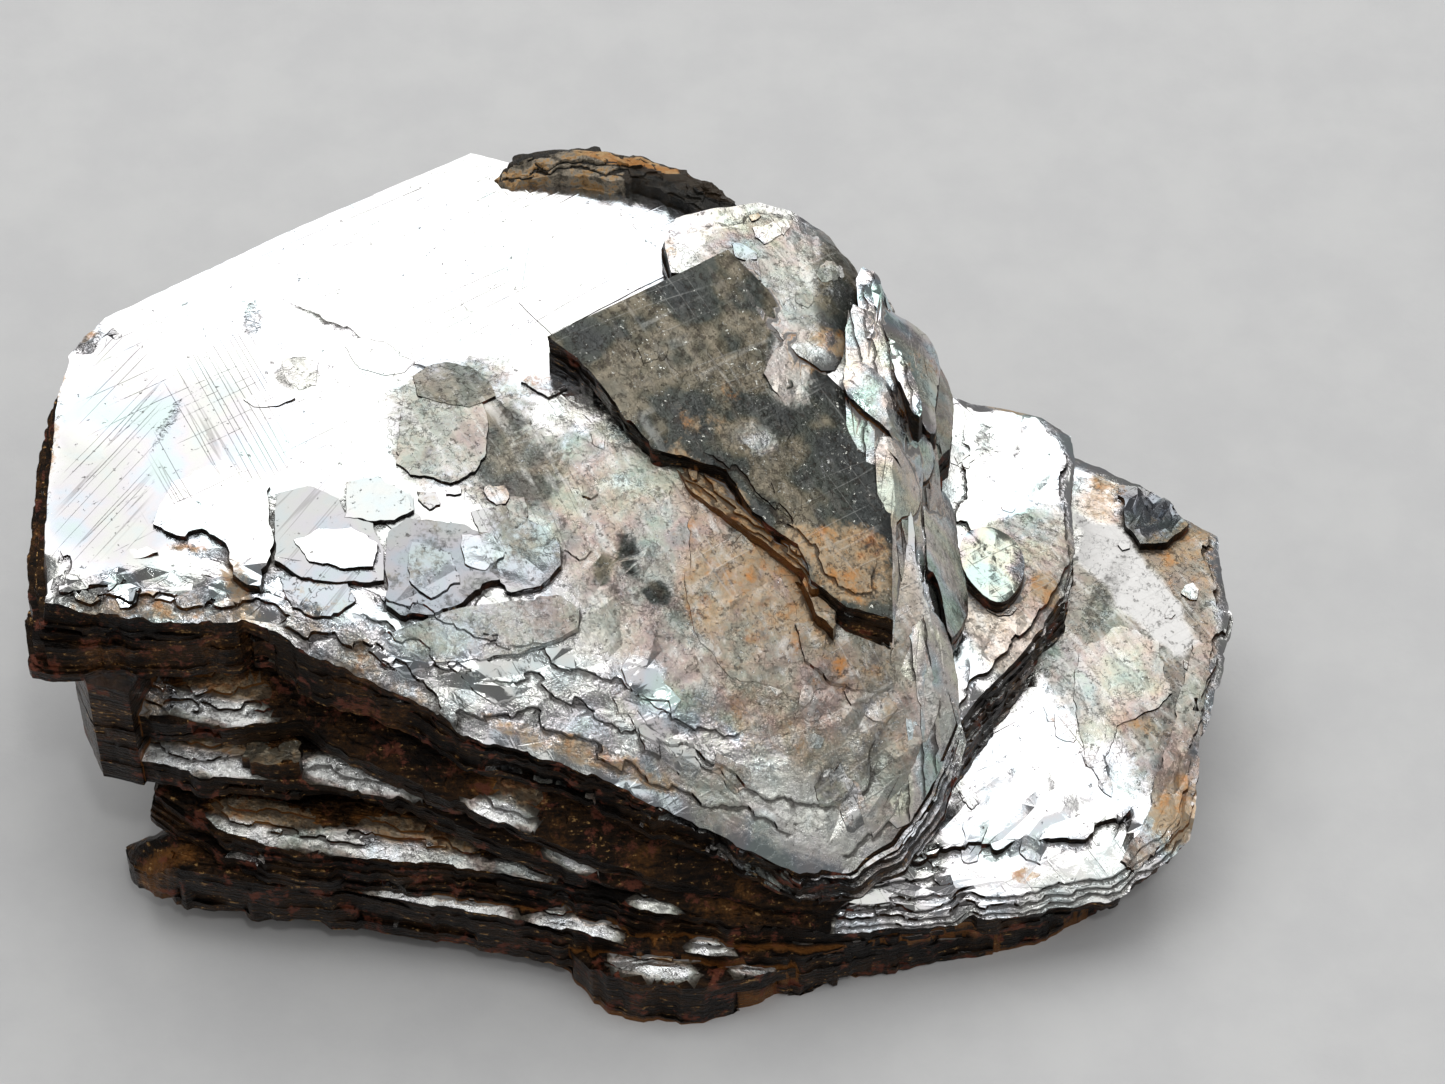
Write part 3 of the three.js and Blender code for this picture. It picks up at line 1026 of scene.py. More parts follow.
    def finish(self, verts: Array, tris: Array, grime_and_shade: Array) -> Array:
        """Picks the edge finish for the steep little walls and the grimy places, and the bright one elsewhere.

        Args:
            verts: points of the face.
            tris: corner numbers of its triangles.
            grime_and_shade: how much grime and painted shade each point carries.

        Returns:
            The finish of each triangle.
        """
        a, b, c = verts[tris[:, 0]], verts[tris[:, 1]], verts[tris[:, 2]]
        normal = np.cross(b - a, c - a)
        normal /= np.maximum(np.linalg.norm(normal, axis=1, keepdims=True), 1e-12)
        mid, h = (a + b + c) / 3, .05
        gx = (self.top(mid[:, 0] + h, mid[:, 1]) - self.top(mid[:, 0] - h, mid[:, 1])) / (2 * h)
        gy = (self.top(mid[:, 0], mid[:, 1] + h) - self.top(mid[:, 0], mid[:, 1] - h)) / (2 * h)
        level = np.column_stack([-gx, -gy, np.ones_like(gx)])
        level /= np.linalg.norm(level, axis=1, keepdims=True)
        worn = ((normal * level).sum(axis=1) < STEEP) | (grime_and_shade[tris].mean(axis=1) > GRIMY)
        return np.where(worn, EDGE, BRIGHT)


@dataclass
class Mason:
    """Turns solids into Blender objects and joins them."""

    finishes: list[Finish]

    def mesh(self, name: str, solid: Solid, home: bpy.types.Collection | None = None) -> Thing:
        """Makes one object of a solid, in metres around the middle of the base.

        Args:
            name: the object's name.
            solid: what it is made of.
            home: where it is kept, or else in the scene.

        Returns:
            The object.
        """
        data = bpy.data.meshes.new(name)
        data.from_pydata((solid.points - np.array([*CENTRE, 0.0])) * MM, [], solid.tris, shade_flat=False)
        for finish in self.finishes:
            data.materials.append(finish)
        data.polygons.foreach_set("material_index", solid.faces.astype(np.int32))
        for k, label in enumerate(("stains", "marks")):
            layer = data.attributes.new(label, "FLOAT_COLOR", "POINT")
            layer.data.foreach_set("color", solid.stains[:, 4 * k:4 * k + 4].astype(np.float32).ravel())
        made = bpy.data.objects.new(name, data)
        (home or bpy.context.scene.collection).objects.link(made)
        return made

    def joined(self, name: str, solids: Sequence[Solid], floor: bool = False, sharp: float = 16.0) -> Thing:
        """Grows several solids into one object.

        Args:
            name: the object's name.
            solids: what it is made of, the largest first.
            floor: whether the base is worn flat on the resting surface.
            sharp: edges that turn by more than this many degrees stay crisp.

        Returns:
            The object, which rides on the specimen and stands for its solid.
        """
        first = self.mesh(name, solids[0])
        others = bpy.data.collections.new(name + "_parts")
        bpy.context.scene.collection.children.link(others)
        for k, solid in enumerate(solids[1:]):
            self.mesh(f"{name}_{k}", solid, others)
        if len(solids) > 1:
            union = first.modifiers.new("grown_together", "BOOLEAN")
            union.operation, union.solver = "UNION", "MANIFOLD"
            union.operand_type, union.collection = "COLLECTION", others
        if floor:
            block = self.mesh(name + "_wear", self.box(*UNDERGROUND))
            cut = first.modifiers.new("worn_flat", "BOOLEAN")
            cut.operation, cut.solver, cut.object = "DIFFERENCE", "MANIFOLD", block
        shaped = bpy.data.meshes.new_from_object(first.evaluated_get(bpy.context.evaluated_depsgraph_get()))
        first.modifiers.clear()
        old, first.data = first.data, shaped
        bpy.data.meshes.remove(old)
        for part in list(others.objects):
            bpy.data.meshes.remove(part.data)
        bpy.data.collections.remove(others)
        if floor:
            bpy.data.meshes.remove(block.data)
        shaped.name = name
        shaped.polygons.foreach_set("use_smooth", np.ones(len(shaped.polygons), bool))
        self.crease(shaped, sharp)
        LOG.info("%s: %d faces", name, len(shaped.polygons))
        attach(first, BODY)
        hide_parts(NODE)
        return first

    @staticmethod
    def crease(mesh: bpy.types.Mesh, sharp: float, worn: float = 50.0) -> None:
        """Keeps sharp edges crisp, but the worn ones between two faces of a broken edge only where they turn hard.

        Args:
            mesh: what to crease.
            sharp: least turn of a crisp edge, in degrees.
            worn: least turn of a crisp edge on a broken edge, in degrees.
        """
        marks = []
        for angle in (worn, sharp):
            mesh.set_sharp_from_angle(angle=math.radians(angle))
            mark = np.zeros(len(mesh.edges), bool)
            mesh.attributes["sharp_edge"].data.foreach_get("value", mark)
            marks.append(mark)
        edges = np.zeros(len(mesh.loops), int)
        sizes, kinds = np.zeros((2, len(mesh.polygons)), int)
        mesh.loops.foreach_get("edge_index", edges)
        mesh.polygons.foreach_get("loop_total", sizes)
        mesh.polygons.foreach_get("material_index", kinds)
        other = np.bincount(edges, np.repeat(kinds != EDGE, sizes), len(mesh.edges)) > 0
        mesh.attributes["sharp_edge"].data.foreach_set("value", np.where(other, marks[1], marks[0]))

    @staticmethod
    def box(low: tuple[float, float, float], high: tuple[float, float, float]) -> Solid:
        """A plain block.

        Args:
            low, high: its corners, in mm.

        Returns:
            The solid.
        """
        points = np.array([[(low, high)[(k >> a) & 1][a] for a in range(3)] for k in range(8)], float)
        quads = [(0, 2, 3, 1), (4, 5, 7, 6), (0, 1, 5, 4), (2, 6, 7, 3), (0, 4, 6, 2), (1, 3, 7, 5)]
        tris = np.array([t for a, b, c, d in quads for t in ((a, b, c), (a, c, d))])
        return Solid(points, tris, np.full(len(tris), EDGE), np.full((len(points), len(Stain)), .4))


# ---- Finishes ----


class Value:
    """A number socket that works in Python expressions."""

    def __init__(self, shader: "Shader", socket: Socket) -> None:
        """Wraps an output socket of a shader's tree."""
        self.shader, self.socket = shader, socket

    def _math(self, operation: str, *values: "Value | float") -> "Value":
        """Adds one Math node."""
        node = self.shader.node("ShaderNodeMath", {"operation": operation}, dict(enumerate(values)))
        return Value(self.shader, node.outputs[0])

    def __add__(self, other: "Value | float") -> "Value":
        """Sum."""
        return self._math("ADD", self, other)

    __radd__ = __add__

    def __mul__(self, other: "Value | float") -> "Value":
        """Product."""
        return self._math("MULTIPLY", self, other)

    __rmul__ = __mul__

    def __sub__(self, other: "Value | float") -> "Value":
        """Difference."""
        return self._math("SUBTRACT", self, other)

    def __rsub__(self, other: "Value | float") -> "Value":
        """Difference from a number."""
        return self._math("SUBTRACT", other, self)

    def __abs__(self) -> "Value":
        """Size without sign."""
        return self._math("ABSOLUTE", self)

    def ramp(self, low: float, high: float, start: float = 0.0, end: float = 1.0) -> "Value":
        """Runs smoothly from start to end as the value goes from low to high."""
        node = self.shader.node("ShaderNodeMapRange", {"interpolation_type": "SMOOTHSTEP"},
                                {"Value": self, "From Min": low, "From Max": high, "To Min": start, "To Max": end})
        return Value(self.shader, node.outputs[0])

    def most(self, other: "Value | float") -> "Value":
        """The larger of two."""
        return self._math("MAXIMUM", self, other)


class Shader:
    """A material's node tree, filled by expressions."""

    def __init__(self, name: str) -> None:
        """Starts a material with an empty tree.

        Args:
            name: its name.
        """
        self.material = bpy.data.materials.new(name)
        self.material.use_nodes = True
        self.tree = self.material.node_tree
        self.tree.nodes.clear()
        self.place = self.node("ShaderNodeTexCoord", {}, {}).outputs["Object"]

    def node(self, kind: str, settings: dict[str, Any], inputs: dict[Any, Any]) -> bpy.types.Node:
        """Adds a node.

        Args:
            kind: its type.
            settings: properties, set first; a "stops" entry holds a colour ramp's positions and colours.
            inputs: values or links for its sockets, by name or number.

        Returns:
            The node.
        """
        made = self.tree.nodes.new(kind)
        for name, value in settings.items():
            if name == "stops":
                while len(made.color_ramp.elements) < len(value):
                    made.color_ramp.elements.new(.5)
                for element, (at, colour) in zip(made.color_ramp.elements, value):
                    element.position, element.color = at, (*colour, 1.0)
            else:
                setattr(made, name, value)
        for name, value in inputs.items():
            socket = made.inputs[name]
            if isinstance(value, Value):
                value = value.socket
            if isinstance(value, Socket):
                self.tree.links.new(value, socket)
            elif socket.type == "RGBA" and len(value) == 3:
                socket.default_value = (*value, 1.0)
            else:
                socket.default_value = value
        return made

    def scaled(self, scale: tuple[float, float, float], turn: float = 0.0) -> Socket:
        """Places on the specimen, turned by degrees about Z and stretched; scale is per mm."""
        spun = self.node("ShaderNodeVectorRotate", {"rotation_type": "Z_AXIS"},
                         {"Vector": self.place, "Angle": -math.radians(turn)}).outputs[0] if turn else self.place
        return self.node("ShaderNodeVectorMath", {"operation": "MULTIPLY"},
                         {0: spun, 1: tuple(PER_M * s for s in scale)}).outputs[0]

    def noise(self, size: float, detail: float = 4.0, rough_share: float = .55,
              stretch: tuple[float, float, float] = (1, 1, 1), turn: float = 0.0) -> Value:
        """Cloudy grain from 0 to 1.

        Args:
            size: how large its lumps are, in mm.
            detail: how many finer sizes it has.
            rough_share: how strong they are.
            stretch: per axis, less than 1 draws it out.
            turn: which way it runs, in degrees.

        Returns:
            The grain.
        """
        place = self.scaled(tuple(s / size for s in stretch), turn)
        node = self.node("ShaderNodeTexNoise", {}, {"Vector": place, "Scale": 1.0, "Detail": detail,
                                                    "Roughness": rough_share})
        return Value(self, node.outputs[0])

    def hairline(self, size: float, turn: float, width: float, length: float = 60.0) -> Value:
        """Thin straight lines, unevenly spaced about size mm apart and running at an angle to X."""
        wave = self.noise(size, 1.0, .4, (1.0 / length, 1.0, 1.0 / length), turn)
        return abs(wave - .5).ramp(0.0, width, 1.0, 0.0)

    def read(self, layer: str) -> tuple[Value, Value, Value, Value]:
        """Reads one of the mesh's painted layers.

        Args:
            layer: its name.

        Returns:
            Its four numbers.
        """
        read = self.node("ShaderNodeAttribute", {"attribute_name": layer}, {})
        parts = self.node("ShaderNodeSeparateColor", {}, {"Color": read.outputs["Color"]})
        return tuple(Value(self, socket) for socket in (*parts.outputs, read.outputs["Alpha"]))

    def colours(self, value: Value, stops: Sequence[tuple[float, Colour]]) -> Socket:
        """A colour for each value, from a row of stops."""
        return self.node("ShaderNodeValToRGB", {"stops": stops}, {"Fac": value}).outputs["Color"]

    def mix(self, share: Value | float, a: Any, b: Any, blend: str = "MIX") -> Socket:
        """Goes from colour a to colour b by a share."""
        return self.node("ShaderNodeMix", {"data_type": "RGBA", "blend_type": blend, "clamp_factor": True},
                         {0: share, 6: a, 7: b}).outputs[2]

    def finished(self, colour: Any, metal: Value | float, roughness: Value | float, relief: Value,
                 depth_mm: float, strength: float = 1.0) -> Finish:
        """Closes the tree with a surface.

        Args:
            colour: base colour.
            metal: share of metal.
            roughness: surface roughness.
            relief: fine relief from 0 to 1.
            depth_mm: how deep the relief is.
            strength: how strongly it shows.

        Returns:
            The material.
        """
        bump = self.node("ShaderNodeBump", {}, {"Height": relief, "Distance": depth_mm * MM,
                                                "Strength": strength})
        surface = self.node("ShaderNodeBsdfPrincipled", {}, {"Base Color": colour, "Metallic": metal,
                                                             "Roughness": roughness, "Normal": bump.outputs[0]})
        self.node("ShaderNodeOutputMaterial", {}, {"Surface": surface.outputs[0]})
        return self.material


@dataclass(frozen=True)
class BrightFace:
    """A crystal's flat face: a steel-grey mirror with tarnish, growth lines, coats, rust, quartz, painted glints and
    painted shade.
    """

    steel: Colour = (.66, .67, .69)
    dark_steel: Colour = (.17, .175, .19)
    quartz: Colour = (.93, .92, .90)
    clay: Colour = (.62, .57, .52)
    chalk: Colour = (.84, .85, .82)
    warmth: Colour = (1, .80, .69)
    pale_streak: Colour = (.66, .66, .63)
    dark_streak: Colour = (.10, .09, .08)
    painted_glint: Colour = (.62, .62, .55)
    scratched: Colour = (.6, .6, .57)
    soot_and_shade: Colour = (.022, .014, .009)

    def material(self) -> Finish:
        """Builds the finish.

        Returns:
            The material.
        """
        s = Shader("bright_face")
        rust, coat, tone, tarnish = s.read("stains")
        rising, falling, grime_and_shade, quartz = s.read("marks")
        broad, mottle, fine = s.noise(5, 3), s.noise(1.9, 7, .64), s.noise(.3, 5, .62)
        grit = s.noise(.1, 3, .6)
        hues = s.colours(s.noise(3.4, 4, .5, (1, 1, .2)), [
            (.34, (.80, 1, .90)), (.44, (1, .97, .76)), (.52, (1, .88, .84)),
            (.58, (.80, .93, 1)), (.66, (.70, 1, .86))])
        metal = s.mix(tone, self.dark_steel, self.steel)
        metal = s.mix(.18 + .6 * tarnish, metal, s.mix(1, metal, hues, "MULTIPLY"))
        patchy = s.noise(3, 5, .55, (1, 1, 1), 20)
        speckle = s.noise(.45, 5, .7)
        pale = s.colours(.2 * mottle + .6 * patchy + .2 * speckle, [
            (.36, (.11, .11, .11)), (.41, (.29, .28, .23)), (.45, (.33, .37, .33)),
            (.49, (.43, .42, .36)), (.53, (.44, .38, .33)), (.57, (.39, .31, .285)),
            (.62, (.30, .31, .30))])
        pale = s.mix(.85 * tone.ramp(.65, .95), pale, self.chalk)
        pale = s.mix(.75 * tarnish, pale, s.mix(1, pale, hues, "MULTIPLY"))
        pale = s.mix(.8 * rust.ramp(.02, .36), pale, s.mix(1, pale, self.warmth, "MULTIPLY"))
        deep = s.colours(.85 * s.noise(4.6, 3, .5, (1, 1, 1), -40) + .15 * mottle, [
            (.40, (.006, .009, .005)), (.47, (.020, .026, .013)), (.51, (.10, .083, .042)),
            (.55, (.20, .165, .105)), (.62, (.045, .05, .03))])
        rusty = s.colours(.3 * mottle + .35 * s.noise(.8, 6, .7) + .35 * patchy, [
            (.36, (.12, .04, .015)), (.42, (.42, .17, .05)), (.47, (.50, .32, .16)),
            (.52, (.42, .33, .22)), (.56, (.46, .27, .12)), (.62, (.56, .22, .04))])
        coated = (coat + .9 * (mottle - .5) + .5 * (fine - .5)).ramp(.34, .62)
        rusted = (rust + 1.2 * (mottle - .5) + .5 * (fine - .5)).ramp(.32, .66)
        milky = (quartz + .5 * (mottle - .5) + .3 * (fine - .5)).ramp(.25, .65)
        glint = s.noise(.22, 3, .7).ramp(.60, .66) * s.noise(1.7, 3, .6).ramp(.46, .56)
        coated = coated * (1 - .8 * glint)
        streak = s.noise(.7, 5, .6, (.1, 1, 1), -58)
        colour = s.mix(.84 * coated, metal, s.mix(tone.ramp(.15, .6), deep, pale))
        colour = s.mix(.55 * streak.ramp(.52, .66) * coated * tone.ramp(.1, .4), colour, self.pale_streak)
        # painted highlight: pale glint specks on dark coated places
        colour = s.mix(.7 * glint * coat.ramp(.5, .9) * tone.ramp(.15, .4, 1, 0), colour, self.painted_glint)
        colour = s.mix(.35 * streak.ramp(.46, .36) * coated, colour, self.dark_streak)
        colour = s.mix(.88 * rusted, colour, rusty)
        colour = s.mix(milky, colour, s.mix(.3 * fine, self.quartz, self.clay))
        vein = abs(s.noise(2.6, 5, .6) - .5).ramp(0, .007, 1, 0) * (coat + rust).ramp(.2, .5)
        lines = (s.hairline(.55, 57, .022) * rising).most(s.hairline(.5, -63, .022) * falling)
        scratch = s.hairline(1.3, 33, .02, 20).most(s.hairline(1.6, -52, .02, 20)) * broad.ramp(.42, .6)
        specks = (s.noise(.42, 5, .72) + .1 * coat).ramp(.655, .70)
        # sooty grime and the painted shade at the foot of steps and flakes both darken the colour towards the soot
        # colour
        sooty_and_shaded = (grime_and_shade + .9 * (s.noise(.5, 6, .7) - .5)).ramp(.38, .62)
        dark = (.75 * sooty_and_shaded).most(.45 * vein).most(.36 * lines).most(.6 * specks)
        colour = s.mix(dark, colour, self.soot_and_shade)
        colour = s.mix(.3 * scratch * coated * tone.ramp(0, .3, .6, 1) * (1 - sooty_and_shaded), colour, self.scratched)
        metallic = 1 - (.42 * coated).most(.6 * rusted).most(milky)
        roughness = .11 + .09 * fine + .13 * coated + .16 * rusted + .14 * milky + .2 * sooty_and_shaded
        wrinkle = abs(s.noise(1.6, 3, .5, (1, 1.6, 1), -20) - .5).ramp(0, .2)
        foil = abs(s.noise(.7, 4, .6, (1, 1.5, 1), -20) - .5).ramp(0, .16) * grime_and_shade.ramp(.1, .35)
        relief = 1.1 * foil + .22 * fine + (.10 + .35 * coated) * grit + (.15 + .75 * coated) * wrinkle
        return s.finished(colour, metallic, roughness, relief - .5 * dark + .2 * scratch, .06, .7)


@dataclass(frozen=True)
class LayeredEdge:
    """A crystal's broken edge: near-black brown leaves, partly painted shade, with painted golden glints and red
    rust.
    """

    # dark and brown are the edges' own near-black colours, darkened further as painted shade for walls facing away
    # from the light
    dark: Colour = (.005, .0034, .0025)
    brown: Colour = (.046, .022, .008)
    painted_glint_gold: Colour = (.50, .29, .11)
    red: Colour = (.18, .038, .013)
    orange: Colour = (.42, .17, .04)

    def material(self) -> Finish:
        """Builds the finish.

        Returns:
            The material.
        """
        s = Shader("layered_edge")
        rust, _, _, depth = s.read("stains")  # below the rim, the tarnish holds how deep a place lies
        along = s.noise(3.2, 5, .6)
        leaf = s.node("ShaderNodeCombineXYZ", {}, {"X": 2 * along, "Y": 13 * depth})
        leaves = Value(s, s.node("ShaderNodeTexNoise", {}, {"Vector": leaf.outputs[0], "Scale": 1, "Detail": 3,
                                                            "Roughness": .6}).outputs[0])
        fine = s.noise(.25, 5, .68)
        grain = s.noise(.2, 4, .62, (.14, .45, 1), -9)
        colour = s.mix((.3 * leaves + .35 * along + .45 * grain).ramp(.47, .70), self.dark, self.brown)
        rusted = (rust + .8 * (along - .5) + .4 * (leaves - .5) + .7 * (fine - .5)).ramp(.3, .8)
        colour = s.mix(.5 * rusted, colour, self.orange)
        # painted highlight: golden glints streaked along the layers
        glint = (.5 * fine + .5 * grain + .3 * leaves).ramp(.735, .79)
        colour = s.mix(.85 * glint, colour, self.painted_glint_gold)
        rusty = (s.noise(1.4, 6, .72) + .1 * leaves + .1 * grain).ramp(.645, .74)
        colour = s.mix(.7 * rusty, colour, self.red)
        metallic = .85 - .5 * rusty
        roughness = .2 + .2 * fine + .25 * rusty
        return s.finished(colour, metallic, roughness, .5 * leaves + .7 * fine + 1.2 * along + 1.1 * grain, .14, 1)


@dataclass(frozen=True)
class IronCrust:
    """A crust of iron oxides: tan and orange, with black and olive patches and a painted black shadow band."""

    orange: Colour = (.50, .22, .05)
    tan: Colour = (.55, .36, .17)
    black: Colour = (.006, .006, .005)

    def material(self) -> Finish:
        """Builds the finish.

        Returns:
            The material.
        """
        s = Shader("iron_crust")
        rust, grime_and_shade = s.read("stains")[0], s.read("marks")[2]
        mottle, fine = s.noise(1.3, 7, .72), s.noise(.25, 5, .7)
        colour = s.colours(.75 * mottle + .25 * fine, [
            (.38, (.010, .010, .008)), (.45, (.13, .105, .07)), (.50, (.33, .285, .22)),
            (.55, (.44, .25, .09)), (.61, (.10, .065, .035)), (.67, (.36, .33, .27))])
        rusted = (rust + .9 * (mottle - .5)).ramp(.35, .6)
        colour = s.mix(.85 * rusted, colour, s.mix(mottle.ramp(.42, .58), self.orange, self.tan))
        # black where the grime-and-shade stain is high: the crust's own black patches, and a painted shadow band on
        # the ridge
        glossy = (grime_and_shade + .8 * (mottle - .5)).ramp(.42, .56)
        colour = s.mix(.94 * glossy, colour, self.black)
        return s.finished(colour, .3 * glossy, .5 + .2 * fine - .36 * glossy, mottle + .6 * fine, .17, 1)


# ---- The specimen's parts ----

WORN = (.32, 1., .0, 0, 0, 0, .8)  # stains of a worn face, in the order of Stain


def worn_front(seed: int, highlight_lenses: Sequence[tuple[float, float, float]]) -> list[Any]:
    """The worn strip along a leaf's front: dark, with smooth lenses painted bright as highlights, and crumpled golden
    ends.

    Args:
        seed: which pattern.
        highlight_lenses: middle [x, y] and half the length of each lens painted as a highlight.

    Returns:
        The growth.
    """
    front = Area(((-30, -20), (-28, -9.5), (-8, -12), (16, -14), (19, -20)), .8)
    growth: list[Any] = [Roll(front, .15, 1.6),
                         Steps(front, (.9, 1.7, 2.6, 3.5), .13, seed + 20, .5, 3.2, .35, 1.5)]
    for k, (x, y, reach) in enumerate(highlight_lenses):
        # painted highlight: each lens is painted pale and partly bare, standing in for the bright reflection along
        # the leaf's front
        lens = Oval((x, y), (1.35 * reach, .4 + .15 * reach), -9, .3)
        tail = Oval((x + 1., y + 1.1), (reach, .8), -9)
        growth += [Paint(COAT, lens, .52), Paint(RUST, lens, 0.), Paint(TONE, lens, 1.),
                   Paint(GRIME, tail, .5), Paint(RUST, tail, .7), Paint(GRIME, lens, 0.),
                   Crumple(lens, .12 / reach, (.8, .4), -15, seed + k + 9),
                   Crumple(Oval((x + 1.1 * reach, y + .2), (.8, .7)), .09, (.6, .4), -15, seed + k + 1)]
    return growth


class Piece:
    """A piece of the specimen: crystals that have grown into one another."""

    name: ClassVar[str]
    grounded: ClassVar[bool] = False  # whether the ground has worn its underside flat

    def slabs(self) -> list[Slab]:
        """The piece's crystals, the largest first."""
        raise NotImplementedError

    def build(self, mason: Mason) -> Thing:
        """Makes the piece."""
        return mason.joined(self.name, [slab.build() for slab in self.slabs()], self.grounded)


@dataclass
class MainCrystal(Piece):
    """The thick crystal that the others lean on, flat at the back left and curled at the right front."""

    name: ClassVar[str] = "main_crystal"
    rim: Points = (
        (-29, -11, 1.6, .25), (-26.5, -11.5, .3, .3), (-23.5, -12, 0, .3), (-19, -11.5, 0, .3),
        (-14.5, -13.5, 0, .3), (-10, -15, 0, .35), (-7, -16.2, 0, .35), (-3, -16.3, .3, .35), (1, -17.2, .5, .3),
        (4, -17.6, .5, .3), (6.5, -18.2, .5, .25), (9.2, -18.7, .6, .22), (11.8, -18.2, .9, .2),
        (14, -16.6, 1.1, .2), (16, -14.2, 1.1, .2), (17.4, -11.2, .8, .2), (16.3, -8, .6, .2), (15.3, -4.8, .8, .2),
        (14.8, .4, .8, .2), (13.5, 5.5, .5, .2), (9.3, 11, 0, .15), (3.4, 15, 0, .12), (-1.5, 17.3, 0, .12),
        (-6, 18.2, 0, .1), (-8.6, 19.2, 0, .1), (-17.7, 14, 0, .07), (-27.7, 7.7, .6, .16), (-29.3, 5, 1.2, .3),
        (-29.7, 2.4, 1.6, .15), (-29.6, -4.7, 1.8, .12),
    )
    seed: int = 103

    def plates(self) -> list[Flake]:
        """The growth plates that stand out on the face.

        Returns:
            The plates.
        """
        return [
            Flake([(-3.6, 14.5), (.7, 14), (2.3, 12.9), (2.3, 10), (-1.3, 7.6), (-3.8, 5.8), (-5.6, 8.1),
                   (-5.2, 12.4)], .05, tone=.9, ragged=.03),
            Flake([(-17.7, -4.6), (-17.7, -7.1), (-17.5, -8.8), (-16.2, -9.7), (-14.2, -9.8), (-12, -9.5),
                   (-12.1, -7.8), (-12.7, -6.3), (-14.1, -5.8), (-14.5, -4.9), (-16, -4.2)], .32, (-.02, -.03),
                  .3, .2, ragged=.07),
            Flake([(-16.6, -7.6), (-15.8, -8.8), (-14, -9.2), (-12.6, -8.9), (-12.4, -7.6), (-13.8, -6.8),
                   (-15.4, -6.9)], .5, (.02, -.06), 1., ragged=.12),
            Flake([(-17.4, -9.4), (-16.6, -11.2), (-14.6, -11.6), (-13.4, -10.6), (-13.8, -9.6), (-15.6, -9.4)], .2,
                  (.02, -.03), .35, .5, .3, ragged=.1),
            Flake([(-14.2, -3.9), (-12.7, -3.5), (-11.1, -4.4), (-10.6, -5.5), (-11.6, -6.1), (-12.8, -6.2),
                   (-14.1, -6)], .3, (.03, -.02), .5, .4, ragged=.08),
            Flake([(-11, 3.2), (-10.4, 3.9), (-9.4, 4.1), (-8.1, 3.8), (-7, 2.7), (-6.6, 1.6), (-8, .9),
                   (-9.5, 1.3), (-10.7, 1.8)], .14, (.02, -.03), .3, .75, ragged=.08),
            Flake([(-11.5, 1.2), (-11.6, -.7), (-11.6, -2.6), (-10.9, -3.3), (-8.8, -3.8), (-7.6, -3.),
                   (-7.1, -1.9), (-6.9, -.4), (-7.3, 1.1), (-8.6, 1.5), (-10.1, 1.8)], .16, (.02, -.02), .5, .62,
                  ragged=.12),
            Flake([(-7.8, -5.2), (-6.2, -4.8), (-4.2, -5.7), (-3.1, -6.7), (-3, -7.9), (-4.1, -9), (-5.6, -9.5),
                   (-6.7, -8.6), (-7.2, -7)], .26, (.05, -.04), .35, .35, ragged=.12),
            Flake([(-11.9, -6.7), (-12, -8.6), (-11.8, -10.7), (-11.1, -11.2), (-9.6, -11.1), (-8, -10.3),
                   (-7.2, -9.5), (-6.1, -9), (-6.3, -7.6), (-6.7, -6.6), (-8, -6.1), (-9.8, -5.9), (-11, -5.9)],
                  .4, (.03, -.05), .14, .56, ragged=.12),
            Flake([(-10.6, -7.4), (-10.8, -9.6), (-9.6, -10.4), (-8.2, -9.4), (-8.6, -7.9)], .56, (.04, -.07), .25,
                  .35),
            Flake([(-8.2, -6.8), (-8, -8.4), (-6.9, -8.6), (-5.9, -7.8), (-6.6, -6.6)], .5, (-.05, -.05), .5, .3),
            Flake([(-12.2, -12.7), (-11.1, -13.1), (-9.1, -13.1), (-7.1, -12.8), (-5.1, -12.2), (-3.1, -11.5),
                   (-2.2, -10.7), (-2.1, -9.8), (-3.1, -9.3), (-5.1, -9.8), (-7.6, -10.3), (-9.6, -11),
                   (-11.4, -12)], .3, (.01, .02), .45, .85, ragged=.09),
            Flake([(3.5, -4.7), (4, -3.9), (5.8, -3.9), (7.1, -5.5), (8.7, -7.4), (9.7, -9.4), (10.8, -11.4),
                   (8.7, -11.8), (6.1, -11.8), (4, -10.4), (3.5, -7.7)], .06, tone=.5, coat=.8, rust=.3, ragged=.25),
            Flake([(8.9, -8.8), (11.8, -8.1), (13.9, -8.8), (14.1, -10.5), (12.8, -11.1), (10.8, -11.1),
                   (9.5, -10.4)], .28, tone=.45, coat=.8, rust=.32, ragged=.15),
            Flake([(9.5, -6.3), (10.2, -5.6), (10.9, -6.4), (11.3, -8.1), (10.9, -9.2), (10, -8.6), (9.4, -7.2)], 1.,
                  (.1, -.1), .4, .8, .5, ragged=.12),
            Flake([(-14.8, 5.4), (-14, 6), (-12.7, 5.7), (-11.3, 5), (-11, 4.2), (-11.5, 3.5), (-12.5, 3.3),
                   (-13.9, 3.8)], .035, tone=1., coat=.25, ragged=.05),
            Flake([(-18.1, 4.5), (-17.1, 4.7), (-16.1, 4.3), (-16.1, 2.7), (-17, 2.4), (-17.9, 3.3)], .03, tone=.9,
                  coat=.55, ragged=.1),
            Flake([(-19.9, 1.8), (-19.2, 2.3), (-17.7, 2.4), (-17.2, 1.8), (-18, 1.3), (-19.3, 1.3)], .09,
                  (.02, .06), 1., ragged=.06),
            Flake([(-23.9, -6.6), (-22.4, -7.4), (-21.4, -7.1), (-20.2, -7.9), (-19.6, -9.9), (-18.2, -10.4),
                   (-17.6, -7.6), (-18.1, -4.2), (-20.8, -2.4), (-23.4, -3.6)], .3, (.02, -.06), 1., ragged=.22),
        ]

